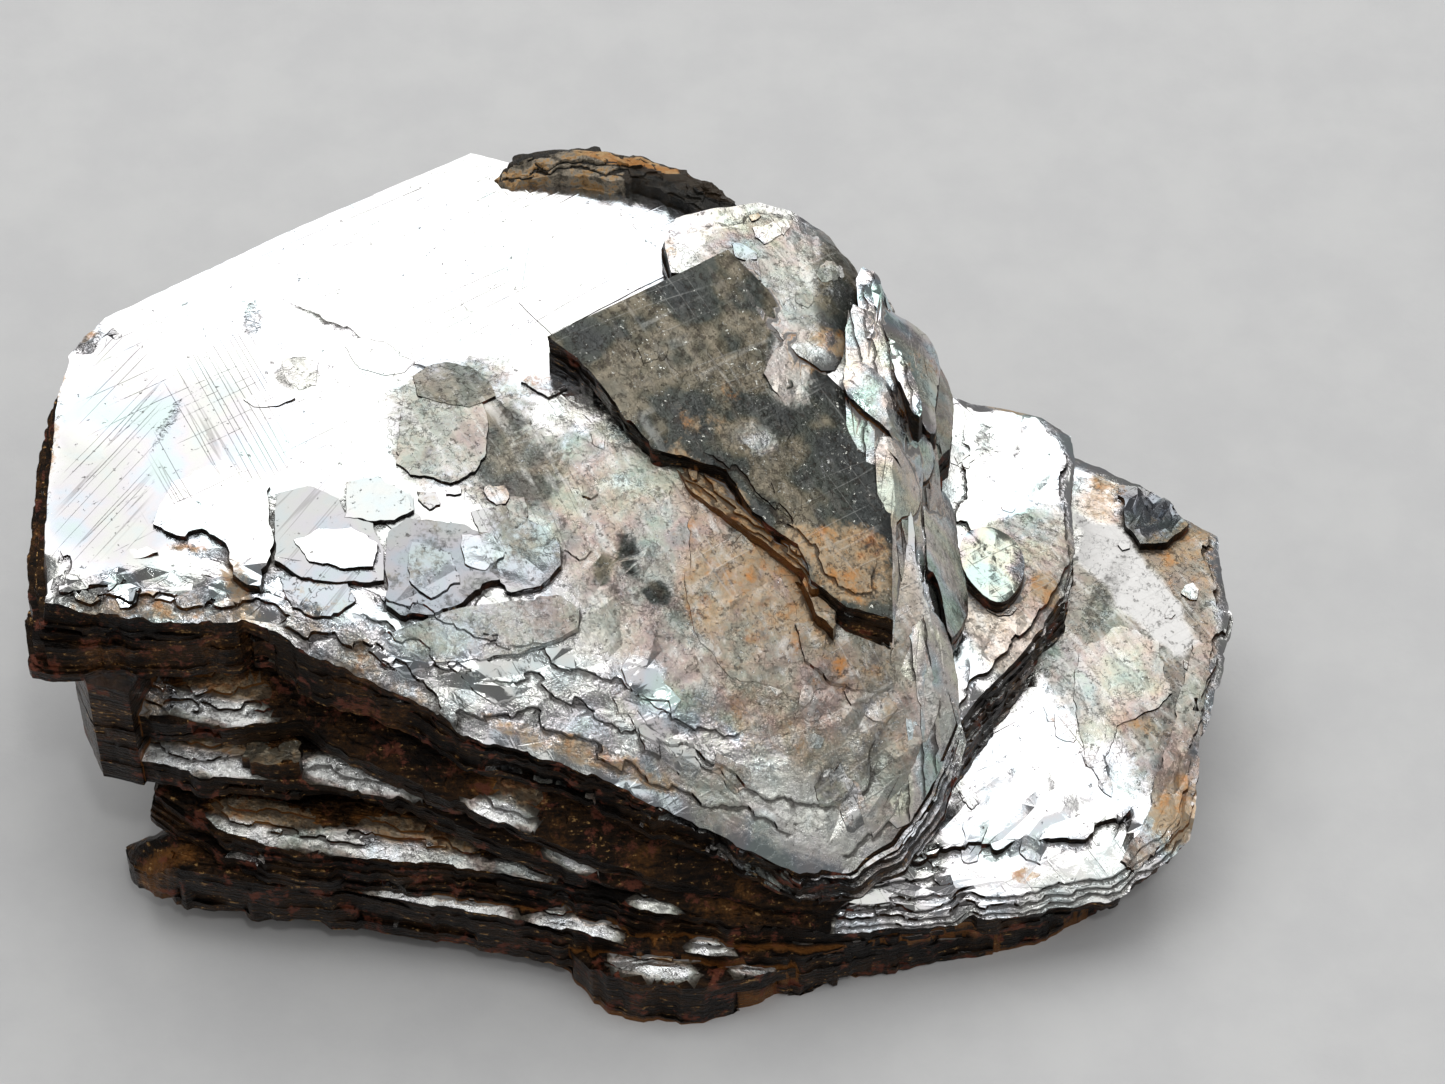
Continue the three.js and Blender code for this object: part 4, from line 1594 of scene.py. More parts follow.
    def slabs(self) -> list[Slab]:
        """The crystal with its growth and stains.

        Returns:
            The slab, alone in a list.
        """
        rng = np.random.default_rng(self.seed)
        grey = ((-12, 3), (-6, 4), (-1, 1), (-1, -8), (-8, -11), (-13, -10))
        belt = ((-13.5, -12.2), (-8, -14), (-2, -15), (3, -15.6), (4, -13), (0, -11.5), (-5, -11.6), (-12, -11))
        lower = ((2, -12), (13, -10), (16.5, -9.5), (16, -13.5), (12, -17), (7, -17.5), (2, -15.5))
        left = ((-28.5, -9), (-24, -8), (-20, -10), (-21, -11.3), (-28, -10.8))
        front = Area(((-30, -12), (-30, -8.4), (-24, -8), (-18, -10.4), (-13, -11.5), (-7, -13), (-1, -13),
                      (4, -14.2), (9, -15), (9, -20), (-30, -20)), 1.5)
        right = Area(((4, -15), (9, -13.6), (13.4, -12), (15.4, -9), (19, -9), (18, -20), (3, -20)), 1.2)
        growth: list[Any] = self.plates()
        growth += Scatter(grey, 14, (.8, 2.8), 1.4, -20, 50, .05, (.04, .2), (.3, .8), .5).flakes(rng)
        growth += Scatter(belt, 7, (1.2, 3.), 2.4, -12, 25, .1, (.06, .2), (.6, 1.), .2, .1).flakes(rng)
        growth += Scatter(left, 4, (.8, 1.6), 1.8, -10, 40, .2, (.05, .2), (.7, 1.), .1, .2).flakes(rng)
        growth += Scatter(lower, 12, (.6, 2.4), 1.8, 20, 40, .1, (.03, .15), (.4, 1.), .5, .15).flakes(rng)
        growth += [
            Crumple(Oval((-24, -10.8), (6.5, 1.5)), .32, (.8, .5), -8, 11),
            Crumple(Oval((-16, -12), (4.5, 1.), -20), .26, (.9, .5), -25, 12),
            Crumple(Oval((-9, -13.9), (5.5, 1.6), -18), .28, (1.1, .6), -20, 13),
            Crumple(Oval((-1, -14.4), (6.5, 2.6), -8), .2, (1.2, .7), -10, 14),
            Crumple(Oval((6, -13.8), (6, 2.6), -8), .14, (1.3, .8), -5, 15),
            Crumple(Oval((-9.2, -8.6), (3, 2.4)), .1, (1.5, .7), 30, 16),
            Crumple(Oval((-5.4, -7), (2.4, 2)), .09, (1.3, .6), -40, 17),
            Crumple(Oval((-28.6, 6.4), (1.4, 1.)), .25, (.6, .4), 40, 7),
            Crumple(Oval((9, -10), (7, 5)), .09, (.8, .7), 0, 18),
            Crumple(Oval((-6, -1), (4, 5)), .05, (1.5, 1.1), 25, 19),
            Crumple(Oval((1, -9), (3.4, 3)), .16, (.9, .7), 15, 20),
            Crumple(Oval((-19, -9.6), (3, 1.8)), .16, (.9, .6), -30, 9),
            Crumple(Oval((12, -14), (4, 3), 35), .16, (1.3, .6), 35, 8),
            Steps(front, (1.1,), .2, 21, 1.1, 4.5, .45, 1.3),
            Steps(Area(((-14, -15), (-13, -10), (-4, -8.6), (2, -10.4), (6, -12.6), (6, -20), (-10, -18)), 1.2),
                  (2.4, 3.9), .16, 22, 1.3, 4.5, .4, 1.2),
            Steps(Area(((1, -19), (3, -13), (9, -14), (13, -13), (14.5, -15), (10, -20)), 1.4), (2.2,), .3, 23,
                  1.4, 5, .2, 1.6),
            Steps(Area(((11, -19), (12.4, -14), (15, -8), (19, -9), (18, -19)), .8), (.8,), .24, 27, .5, 3, .2, 1.4),
            Steps(Oval((-17, 0), (13, 9)), (-1.5, 3.5), .03, 24, 1.6, 4, .3, 1.6, (.5, .87)),
            Steps(Oval((2, -4), (7, 8)), (-6, -1.5), .05, 26, 1.8, 4, .5, 1.5, (-.7, -.5)),
            Roll(front, .2, 1.2), Roll(right, .2, 1.4),
        ]
        growth += [
            *ovals(TONE, (-19, 4, 18, 13, 1.), (-24, -5, 7, 7, .92), (-8.5, 0, 4.2, 4.6, .5),
                   (-3.6, -4.2, .7, 1.6, 0, 20), (.5, -4, 5, 6, .62), (8, -11, 8, 6, .6),
                   (1.8, -8.4, .8, .6, .0, 0, .6), (.4, -6.6, .5, 1., .0, 0, .6), (-1, -7.6, .5, .9, .0, 0, .6),
                   (-19, -3, 6, 5, .72), (10, -15.4, 9, 3, .7, 5), (4, -14.6, 5, 1, .95, -6),
                   (9.6, -16.6, 4, 1.4, .9, -6), (0, -12.4, 2.4, .8, .95, 10), (-25.6, -3, 5, 7, .45),
                   (-27, 2.5, 2.4, 4, .6), (-22.6, 0, 3, 5, .52, -20), (-15, -7, 3, 2.6, .44), (11, 7, 2.4, 3, .3),
                   (-5.7, -1.5, 2.2, 3., .27, 20, .8)),
            *ovals(COAT, (-8.5, 0, 4.2, 4.6, .58), (-4, -3.6, 4.2, 5, .64), (1, -5, 5.5, 7.5, .6), (5, -9, 7, 6, .66),
                   (8.5, -12, 7, 4.6, .66), (14.5, -10, 3, 6, .66), (13.6, 5.6, 1.6, 6, .8), (10, -15.4, 9, 3, .6, 5),
                   (4, -14.6, 5, 1, .3, -6), (9.6, -16.6, 4, 1.4, .6, -6), (0, -12.4, 2.4, .8, .3, 10),
                   (-17.1, 3.6, 1.2, 1.2, .7), (11, 7, 2.4, 3, .8), (-5.7, -1.5, 2.2, 3., .78, 20, .8)),
            *ovals(RUST, (6.2, -7.8, 3.4, 4.6, .7, -30), (11.5, -10.5, 3.6, 2, .6), (4, -3.4, 1.2, 2.6, .45, 30),
                   (9.8, -7.2, 1, 2.4, .8, 20), (8, -12.6, 8, 2.6, .3), (2, -11, 4, 3, .16), (0, -4, 4, 5, .12),
                   (14.4, -9, 1.6, 5, .3), (4.2, -8.6, 1., 1.8, .75), (-22, -7.9, 1.3, .4, .6, -10),
                   (-19.6, -9.6, .7, 1.6, .6, 20), (-23, -11.2, 5.5, .8, .52), (-2, -15.9, 6, .7, .55, -8),
                   (-13, -13.4, 5.5, 1.2, .43, -24), (-28.8, 6.4, 1., .6, .7), (-29.7, -1, .45, 6, .42)),
            *ovals(GRIME, (-21.4, -8.2, 1.6, .3, .5, -10), (-28.7, 6, 1., .7, .5), (-23.7, .4, .4, 2., .3, -18),
                   (-19.8, 7.6, .6, 1.4, .34), (-25, -11.4, 5, .8, .4), (-23, -9.8, 6, 1.4, .17),
                   (-12, -13.6, 6, 1.8, .37, -18), (-1, -14.6, 7, 2, .3, -6), (-12, -14.6, 6, .6, .6, -20),
                   (8, -14, 7, 2.6, .27), (-17.2, 3.6, 1.2, 1, .3), (-5.6, -2.4, 3, 3, .26), (1.6, -8.6, 2.4, 1, .42),
                   (.2, -6.4, .6, 1.4, .45), (7.5, -12.6, 3, 1.4, .36)),
            Paint(RISING_LINES, Area(((-29, -9), (-24.6, -8), (-24.2, 4.6), (-27.6, 7)), 1, .3), 1.),
            Paint(RISING_LINES, Area(((-18, -5), (-15, -3), (-12, -12), (-16, -13)), 1, .3), .8),
            *ovals(RISING_LINES, (-5.5, -4, 3, 4, .5)),
            Paint(FALLING_LINES, Area(((-24.4, -6), (-24.2, 4.6), (-19.5, 7), (-17, -3)), 1, .3), 1.),
            Paint(FALLING_LINES, Area(((-14, 14), (-5, 16), (-7, 3), (-14, 4)), 2, .3), .25),
            *ovals(FALLING_LINES, (-5, -4, 3.4, 4.5, .8)),
            *ovals(TARNISH, (-25, -3, 6, 9, .4), (0, -3, 5, 5, .7), (5, -13.6, 5, 1.6, .7)),
        ]
        return [Slab(self.rim, MAIN, (5.3, 2.3), self.seed, layers=7, pitch=.42, step=.2, ledge=.13, waves=.07,
                     growth=growth, bare=(0, .1, .85, .3))]


@dataclass
class CapCrystals(Piece):
    """The dark rhomb and the rounded crystal that grew on the main one, and the crust on its back edge."""

    name: ClassVar[str] = "cap_crystals"
    dark: Points = (
        (-3.9, 3.3, 0, .03), (-2.3, 2.4, 0, .14), (-.9, .9, 0, .2), (.2, -.6, 0, .2), (1.6, -1.9, 0, .2),
        (3.2, -2.1, .2, .2), (5.4, -2.4, .5, .2), (6.8, -4.4, .5, .2), (8.9, -5.8, .3, .2), (9.5, -6.8, 0, .15),
        (9.7, -7.7, 0, .12), (11.6, -8.8, 0, .12), (14, -9.2, 0, .12), (14, -3.7, 0, .12), (13.8, -1.2, 0, .12),
        (12.8, 1.3, 0, .1), (11.5, 3.1, 0, .08), (10.1, 4.4, 0, .08), (8.7, 6.4, 0, .06), (7.6, 8.1, 0, .05),
        (5.5, 10, 0, .02),
    )
    rounded: Points = (
        (2.5, 8.8, .5), (2.1, 10.9, .8), (2.7, 12.4, .5), (4, 12.8), (7.2, 13.9), (8.8, 13.7), (11, 12.8),
        (12.3, 11.4), (13, 9.9), (12.9, 8.2), (12.4, 6.1), (11.8, 4.4), (10.4, 3.8), (9.2, 4.4),
        (7.2, 6.6), (4.6, 8.6),
    )
    golden: Points = (
        (2.4, -1.6), (3.6, -3.3), (4.8, -4.1), (6.4, -5.1), (7.9, -6), (9.2, -6.8), (9.8, -7.9), (10.8, -7.6),
        (10.4, -5), (8, -3), (6, -1.4), (3.6, -.6),
    )
    ridge: Points = (
        (-7.4, 17, .3), (-6.2, 18.6), (-1.5, 18.4), (1.8, 17.4), (5.1, 15.4), (6.6, 13.9), (5, 13.6, .3),
        (.8, 15.8, .4), (-3.6, 16.8, .5), (-6.3, 16.4, .5),
    )

    @staticmethod
    def rounded_face(x: Array, y: Array) -> Array:
        """Height of the rounded crystal's face."""
        return (26.5 - .2 * np.maximum(0, x - 5) - .3 * np.maximum(0, x - 11) + .12 * (y - 11)
                - .07 * np.maximum(0, 8.5 - y))

    @staticmethod
    def ridge_top(x: Array, y: Array) -> Array:
        """Height of the crust ridge, which sinks at its left end."""
        return 26.3 - .01 * x * x - .5 * smooth(-x, 2.5, 7) + 0 * y

    def slabs(self) -> list[Slab]:
        """The crystals with their growth and stains.

        Returns:
            The slabs.
        """
        rng = np.random.default_rng(135)
        whole = Oval((5, 1), (30, 30), 0, 0)
        chip = ((7.3, 3.1), (8, 4.5), (8.8, 5.6), (9.5, 5.8), (9.9, 4.9), (9.7, 3.3), (9.3, 2.1), (8.5, 1.5))
        over = ((4, -2), (13, -8), (13.5, -2), (11, 2), (6, 8), (0, 3))
        growth = [
            Crumple(Oval((4, 3), (9, 7)), .03, (1.6, 1.1), 50, 30),
            Flake(chip, .1, (-.08, .05), .8, .6, .2, .1, 3),
            *Scatter(over, 9, (.8, 2.6), 1.6, 60, 40, .04, (.02, .06), (.0, .2), .9).flakes(rng),
            Crumple(Oval((8.4, 2.2), (.9, 1.1), -20), .1, (.8, .4), 65, 31),
            Crumple(Oval((7, -.5), (1.8, 1.6)), .1, (.6, .5), 20, 32),
            Steps(Area(((2, -3), (6, -1), (13, -5), (14, -10), (6, -9)), .8), (.8,), .12, 34, .5, 2, .4, 1.),
            Roll(whole, .08, .3),
            *ovals(TONE, (3, 2, 5, 4, .14), (8.7, 3.5, 1.2, 2, .7), (7, -.5, 1.1, .8, .7)),
            *ovals(RUST, (12, -6.4, 2.6, 2.6, .6), (9.6, -5.8, 1.3, 1, .75), (9.9, 4.6, .5, 1.6, .6),
                   (4.5, -3, 3, .8, .5, -30), (5, 1, 3, 2.5, .26, 30), (9, 4.8, .8, 1.4, .4)),
            *ovals(COAT, (8.7, 3.9, 1.2, 2, .55), (7, -.5, 1.1, .8, .5), (10.6, -1, .7, 1.2, .6)),
            *ovals(GRIME, (7, 1, 4, 5, .3)), *ovals(FALLING_LINES, (4, 0, 6, 4, .35))]
        dark = Slab(self.dark, Plane(27.5, (-4.2, 3.8), (-.25, .28)), (3.6, 3.6), 135, layers=8, pitch=.45, step=.18,
                    ledge=.12, waves=.03, growth=growth, bare=(0, .95, .08, 0))
        growth = [Crumple(whole, .16, (1.2, .4), -40, 39), Steps(whole, (.3, .7), .16, 40, .25, 2, .4, 1.)]
        under_edge = Slab(self.golden, Plane(22.9, (3.5, -2.8), (-.33, .06)), (1.5, 1.5), 141, layers=3, pitch=.4,
                          step=.18, ragged=.16, ledge=.14, growth=growth, bare=(.8, .9, .2, 0, 0, 0, .36))
        growth = [
            *Scatter(((4, 9), (6, 13), (11, 12), (12, 8), (8, 6)), 12, (.6, 2.), 1.5, 40, 50, .05, (.03, .12),
                     (.4, .9), .4).flakes(rng),
            Crumple(Oval((11.4, 10), (2, 3.6), 20), .12, (1.1, .7), 70, 35),
            Steps(Oval((9, 12), (5, 2)), (.8,), .1, 36, .7, 3, .3, 1.3),
            Roll(Oval((12.6, 9), (3.4, 7)), .6, 1.2),
            *ovals(COAT, (11.6, 9.4, 2, 4, .9), (8, 9, 4.4, 4, .6)),
            *ovals(TONE, (11.8, 8.4, 1.8, 4.5, .1)),
            *ovals(RUST, (11, 5.6, 1.2, 1, .6), (2.4, 10.6, .6, 2, .4)),
            *ovals(TARNISH, (6, 12, 4, 1.6, 1.)), *ovals(GRIME, (11.8, 10.4, 1.4, 3, .4))]
        rounded = Slab(self.rounded, self.rounded_face, (3.2, 3.2), 137, layers=6, pitch=.42, step=.2, ragged=.12,
                       growth=growth, bare=(0, .35, .72, .3))
        back_rim = Area(((-7.6, 17.4), (-6.2, 19.2), (-1.5, 19.2), (1.8, 18.2), (5.1, 16.2), (7, 14.4), (6.4, 13.6),
                         (4.8, 15.2), (1.6, 17.1), (-1.5, 18), (-5.8, 18)), .4)
        growth = [Crumple(whole, .22, (.9, .4), -20, 37), Steps(whole, (.5, 1.), .22, 38, .5, 1.8, .5, 1.),
                  *ovals(RUST, (1, 17, 4.5, .7, .8, -14), (4.6, 15.4, 1.6, .7, .8, -30)),
                  # painted shade: the black oval at (3, 15) stands in for the shadow line along the ridge's front
                  *ovals(GRIME, (3, 15, 3.8, 1.3, 1., -22)), Paint(GRIME, back_rim, .62)]
        ridge = Slab(self.ridge, self.ridge_top, (3.4, 3.4), 139, layers=5, pitch=.3, step=.16, ragged=.4, ledge=.2,
                     waves=.25, growth=growth, crust=True)
        return [dark, under_edge, rounded, ridge]


@dataclass
class FannedLeaves(Piece):
    """Two thinner crystals under the left end of the main one, and the blunt block that joins them there."""

    name: ClassVar[str] = "fanned_leaves"
    upper: Points = (
        (-27, -11), (-24.3, -12.8), (-20.7, -13.1), (-16.6, -12.7), (-14, -14.3), (-11.4, -15.2), (-8.8, -16.1),
        (-5.2, -17.2), (-1.1, -18), (3, -18.5), (7.2, -18.7), (11, -18.4), (14, -16.4), (16.2, -13.4), (16.8, -8),
        (16, 0), (14, 7), (8, 13.5), (0, 16.5), (-9, 18), (-17, 16), (-24.5, 9.5), (-27, 2), (-27.6, -5),
    )
    lower: Points = (
        (-28.4, -9.5), (-27.3, -12.4), (-24.6, -12.9), (-22, -13.9), (-18.3, -14.2), (-14.7, -14.5), (-11.5, -14.9),
        (-9.5, -15.7), (-5.3, -17.1), (-1.2, -18), (4, -18.8), (9.3, -19), (12, -18.2), (14.6, -15.6), (17.2, -8),
        (17, 2), (14, 10), (5, 15.5), (-5, 19), (-14, 18.2), (-22, 13.5), (-27, 6), (-28.6, -2),
    )
    block: Points = ((-28.7, -9.6), (-27.4, -12.5), (-25.2, -13.1), (-23.8, -10), (-24.4, -5), (-28, -3.5))

    def slabs(self) -> list[Slab]:
        """The crystals with their growth and stains.

        Returns:
            The slabs.
        """
        growth = worn_front(41, ((-21.7, -12.1, 2.6), (-6.3, -16.6, 1.5)))
        growth.append(Crumple(Oval((-24.5, -11.6), (1.4, 1.)), .14, (.5, .3), -60, 45))
        for stain, level in ((GRIME, .3), (COAT, .1), (TONE, .9), (RUST, .5)):
            growth += ovals(stain, (-24.5, -11.6, 1.4, 1., level))
        upper = Slab(self.upper, Under(MAIN, 7, 3.3), (2.6, 1.3), 105, layers=4, pitch=.52, step=.24, ledge=.1,
                     waves=.16, growth=growth, bare=WORN)
        growth = worn_front(47, ((-22.5, -13.1, 3.4), (-13.7, -13.9, 2.9), (-2.6, -17.1, 1.2)))
        growth.append(Flake([(-19.6, -12.2), (-17.4, -12), (-16.6, -13), (-16.8, -14), (-18.4, -14.1),
                             (-19.9, -13.6)], .9, (.1, -.35), .05, .9, .45, .25))
        lower = Slab(self.lower, Under(MAIN, 10.4, 4.5), (2.6, 1.5), 107, layers=4, pitch=.52, step=.24, ledge=.1,
                     waves=.16, growth=growth, bare=WORN)
        block = Slab(self.block, Plane(18.2), (8, 8), 109, layers=9, pitch=.8, step=.24, ragged=.07, ledge=.05,
                     bites=.12)
        return [upper, lower, block]


@dataclass
class LowCrystals(Piece):
    """The broad lower crystal that runs out to the right end, and the two beneath it that reach the ground."""

    name: ClassVar[str] = "low_crystals"
    grounded: ClassVar[bool] = True
    broad: Points = (
        (-24.8, -12.2, .6), (-22.4, -13.6, 1), (-21.4, -14.8, 1), (-19.6, -15.5, .8), (-16.9, -16.2, .5),
        (-11.7, -16.5, .5), (-6.4, -16.9, .3), (-3.3, -17.4, .3), (.9, -18.6, .3), (6.1, -19.2), (11.9, -18.9),
        (17.2, -18, -.4), (19.8, -17.7, -.5), (22.5, -17, -.5), (25.7, -16.4, -.8), (27.9, -15.2, -1),
        (30, -13.4, -1), (30.5, -11.4, -.8), (30.9, -8, -.5), (31.9, -5.7, -.5), (32.6, -2.6, -.5), (33.1, -.7, -.5),
        (32.8, 3.1, -.5), (32.7, 5.2, -.5), (30.7, 6.6, -.5), (28.6, 8.8), (26.4, 10.1), (20, 13), (12, 16.5),
        (2, 18.5, .5), (-8, 17.3, .5), (-16, 15, .5), (-21.5, 8.5, 1), (-23.6, 0, .8), (-24.2, -7, .6),
    )
    under: Points = (
        (-24.6, -11.6), (-26.8, -12.8), (-26.3, -14.2), (-24.2, -15.2), (-20.3, -16), (-15.5, -16.6), (-12.4, -17),
        (-9.2, -17.6), (-4.4, -18.3), (-1.2, -19), (.9, -19.5), (5.1, -19.9), (9.3, -19.4), (14, -18.2), (22, -16.2),
        (27, -13.2), (29.4, -4), (28, 4), (21, 10.4), (8, 15), (-6, 15.4), (-15, 11.8), (-21, 5), (-24, -5),
    )
    foot: Points = (
        (-2.4, -19), (-.9, -20.7), (1, -21.2), (4.2, -21.2), (7.2, -20.3), (9.5, -19.2), (14, -17.8), (20, -16.6),
        (25, -14.6), (27.6, -10), (27, -2), (22, 6.5), (12, 12.4), (0, 12.8), (-8, 9.5), (-12.4, 1), (-10.5, -8),
        (-6, -15),
    )

    @staticmethod
    def under_face(x: Array, y: Array) -> Array:
        """Height of the crystal under the broad one."""
        return LOW(x, y) - 3 + 1.1 * stack(x)

    @staticmethod
    def foot_face(x: Array, y: Array) -> Array:
        """Height of the lowest crystal."""
        return 3.9 - .02 * x + .35 * np.cos(.22 * x + .6) * np.cos(.26 * y)

    def plates(self) -> list[Flake]:
        """The plates on the broad crystal's open right end.

        Returns:
            The plates.
        """
        return [
            Flake([(25.9, -11.3), (25.7, -10.2), (26, -8.5), (26.5, -7.6), (27.7, -7), (28.8, -6.3), (29.4, -5.4),
                   (29, -2.4), (26.9, -1.2), (24.6, -3.2), (24.2, -6.3), (24.6, -9.7)], .1, (.01, 0), .75, .6,
                  ragged=.18),
            Flake([(28, -11.7), (27.4, -13.3), (26.3, -14.7), (27.1, -15.1), (28.7, -13.8), (30.1, -12.4),
                   (30.8, -9.9), (31.3, -5.9), (32, -2.2), (30.9, -2.3), (29.9, -5.4), (29, -8.9)], .2, tone=.5,
                  coat=.85, rust=.25, ragged=.15),
            Flake([(27.4, 8.1), (29, 8), (30.3, 7), (30.9, 5.2), (29.7, 3.9), (28.3, 3.8), (27.5, 5.2)], .45,
                  (.05, -.05), .12, .35, ragged=.25),
        ]

    def slabs(self) -> list[Slab]:
        """The crystals with their growth and stains.

        Returns:
            The slabs.
        """
        rng = np.random.default_rng(111)
        right = ((16, -15), (22, -16), (29, -13), (31, -6), (31, 4), (26, 8), (22, 2), (20, -8))
        apron = Area(((10, -20), (12, -13), (20, -14), (26, -12), (30.4, -13), (28, -20)), 1.4)
        open_end = Area(((20, -14), (30, -13), (33.6, -2), (33, 8), (27, 12), (20, 12)), 1.2)
        front = Area(((-30, -20), (-28, -9.5), (-8, -12), (12, -15), (10, -22)), .8)
        growth: list[Any] = self.plates()
        growth += Scatter(right, 13, (.6, 2.4), 1.5, 30, 50, .06, (.03, .14), (.6, 1), .25, .1).flakes(rng)
        growth += [
            Steps(apron, (.22, .5, .85), .15, 51, .3, 5, .12, 2.4),
            Steps(Area(((15, -18), (15, -14), (22, -14.4), (24, -10), (24.6, -6), (27, -7), (27, -18)), .8), (3.1,),
                  .3, 52, .5, 2.6, .3, 1.4),
            Steps(open_end, (.6,), .22, 53, .6, 3.5, .3, 1.4),
            Steps(Oval((22, -9), (6, 8)), (9, 14), .07, 54, 1.6, 4, .6, 1.6, (.8, -.4)),
            Crumple(Oval((21, -13), (6, 3)), .1, (1.1, .7), 20, 56),
            Crumple(Oval((18, -17), (9, 1.1)), .14, (1.6, .4), 4, 57),
            Crumple(Oval((29.2, 6.2), (1.5, 1.9)), .35, (.6, .5), 40, 58),
            Crumple(Oval((30, -11), (1.6, 3)), .2, (.8, .5), 60, 59),
            Crumple(Oval((24, -7), (5, 6)), .06, (1.2, .8), 70, 60),
            Roll(apron, .16, 1.), Roll(open_end, .2, 1.),
            *ovals(COAT, (29, -1, 3.4, 10, .75, -8), (25, 5, 3, 4, .6), (25, -3, 3.4, 5, .62),
                   (29.2, 6.2, 1.3, 1.7, .35)),
            Paint(COAT, front, 1.),
            *ovals(TONE, (29, -1, 3.4, 10, .34, -8), (25, -2, 4, 5, .55), (28, 1, 3.4, 5, .35, -25),
                   (29.2, 6.2, 1.5, 1.9, .28), (20, -11, 7, 7, 1)),
            Paint(TONE, front, 0.),
            *ovals(RUST, (30.6, 3.6, 2.6, 3.8, .5), (29.6, -11.8, 1.4, 2.2, .75, -30), (26.6, 7.4, 1.6, 2, .42),
                   (30.2, -4, 2.2, 7, .34), (27.6, -7, 1.8, .8, .4, 10), (21, -15.8, 1.6, .5, .6)),
            Paint(RUST, front, .32),
            *ovals(GRIME, (26.4, 1, .8, 3.4, .45, -25), (29.2, 6.4, 1.4, 1.8, .4), (20, -6, .5, 1., .4)),
            Paint(GRIME, front, .8),
            Paint(QUARTZ, Area(((25, 6.2), (26.6, 5.4), (28.6, 2.8), (30.2, .4), (31, -2.2), (30.2, -3.2),
                  (28.6, -2.4), (27, -.4), (25.6, 1.8), (24.8, 4.4)), 1.9, .8), 1.),
            *ovals(TARNISH, (26, -4, 4, 5, .7)),
        ]
        growth += worn_front(61, ((-20.2, -15, 3.2), (-11.4, -16.1, 3.6), (-5.2, -16.8, 1.4), (1.6, -18.4, 1.2)))
        broad = Slab(self.broad, LOW, (3.2, 3.2), 111, layers=7, pitch=.5, step=.22, ledge=.13, waves=.1,
                     growth=growth, bare=(0, .12, .95, .3))
        growth = worn_front(73, ((-9.4, -17.3, 3.2), (-2.6, -18.5, 2.), (4.6, -19.6, 1.1)))
        growth += [Roll(Oval((-26.4, -13.2), (3, 2.6)), 1.5, 2.2), *ovals(RUST, (-24.4, -14.6, 2, .8, .7))]
        under = Slab(self.under, self.under_face, (4.4, 4.2), 113, layers=5, pitch=.52, step=.24, ledge=.11,
                     waves=.14, growth=growth, bare=WORN)
        growth = worn_front(79, ((1.6, -20.2, 1.9), (6.6, -19.9, 1.1))) + [Roll(Oval((3, -20), (12, 3)), .5, 2.)]
        foot = Slab(self.foot, self.foot_face, (4.6, 4.6), 115, layers=4, pitch=.52, step=.26, ledge=.16, waves=.25,
                    growth=growth, bare=WORN)
        return [broad, under, foot]


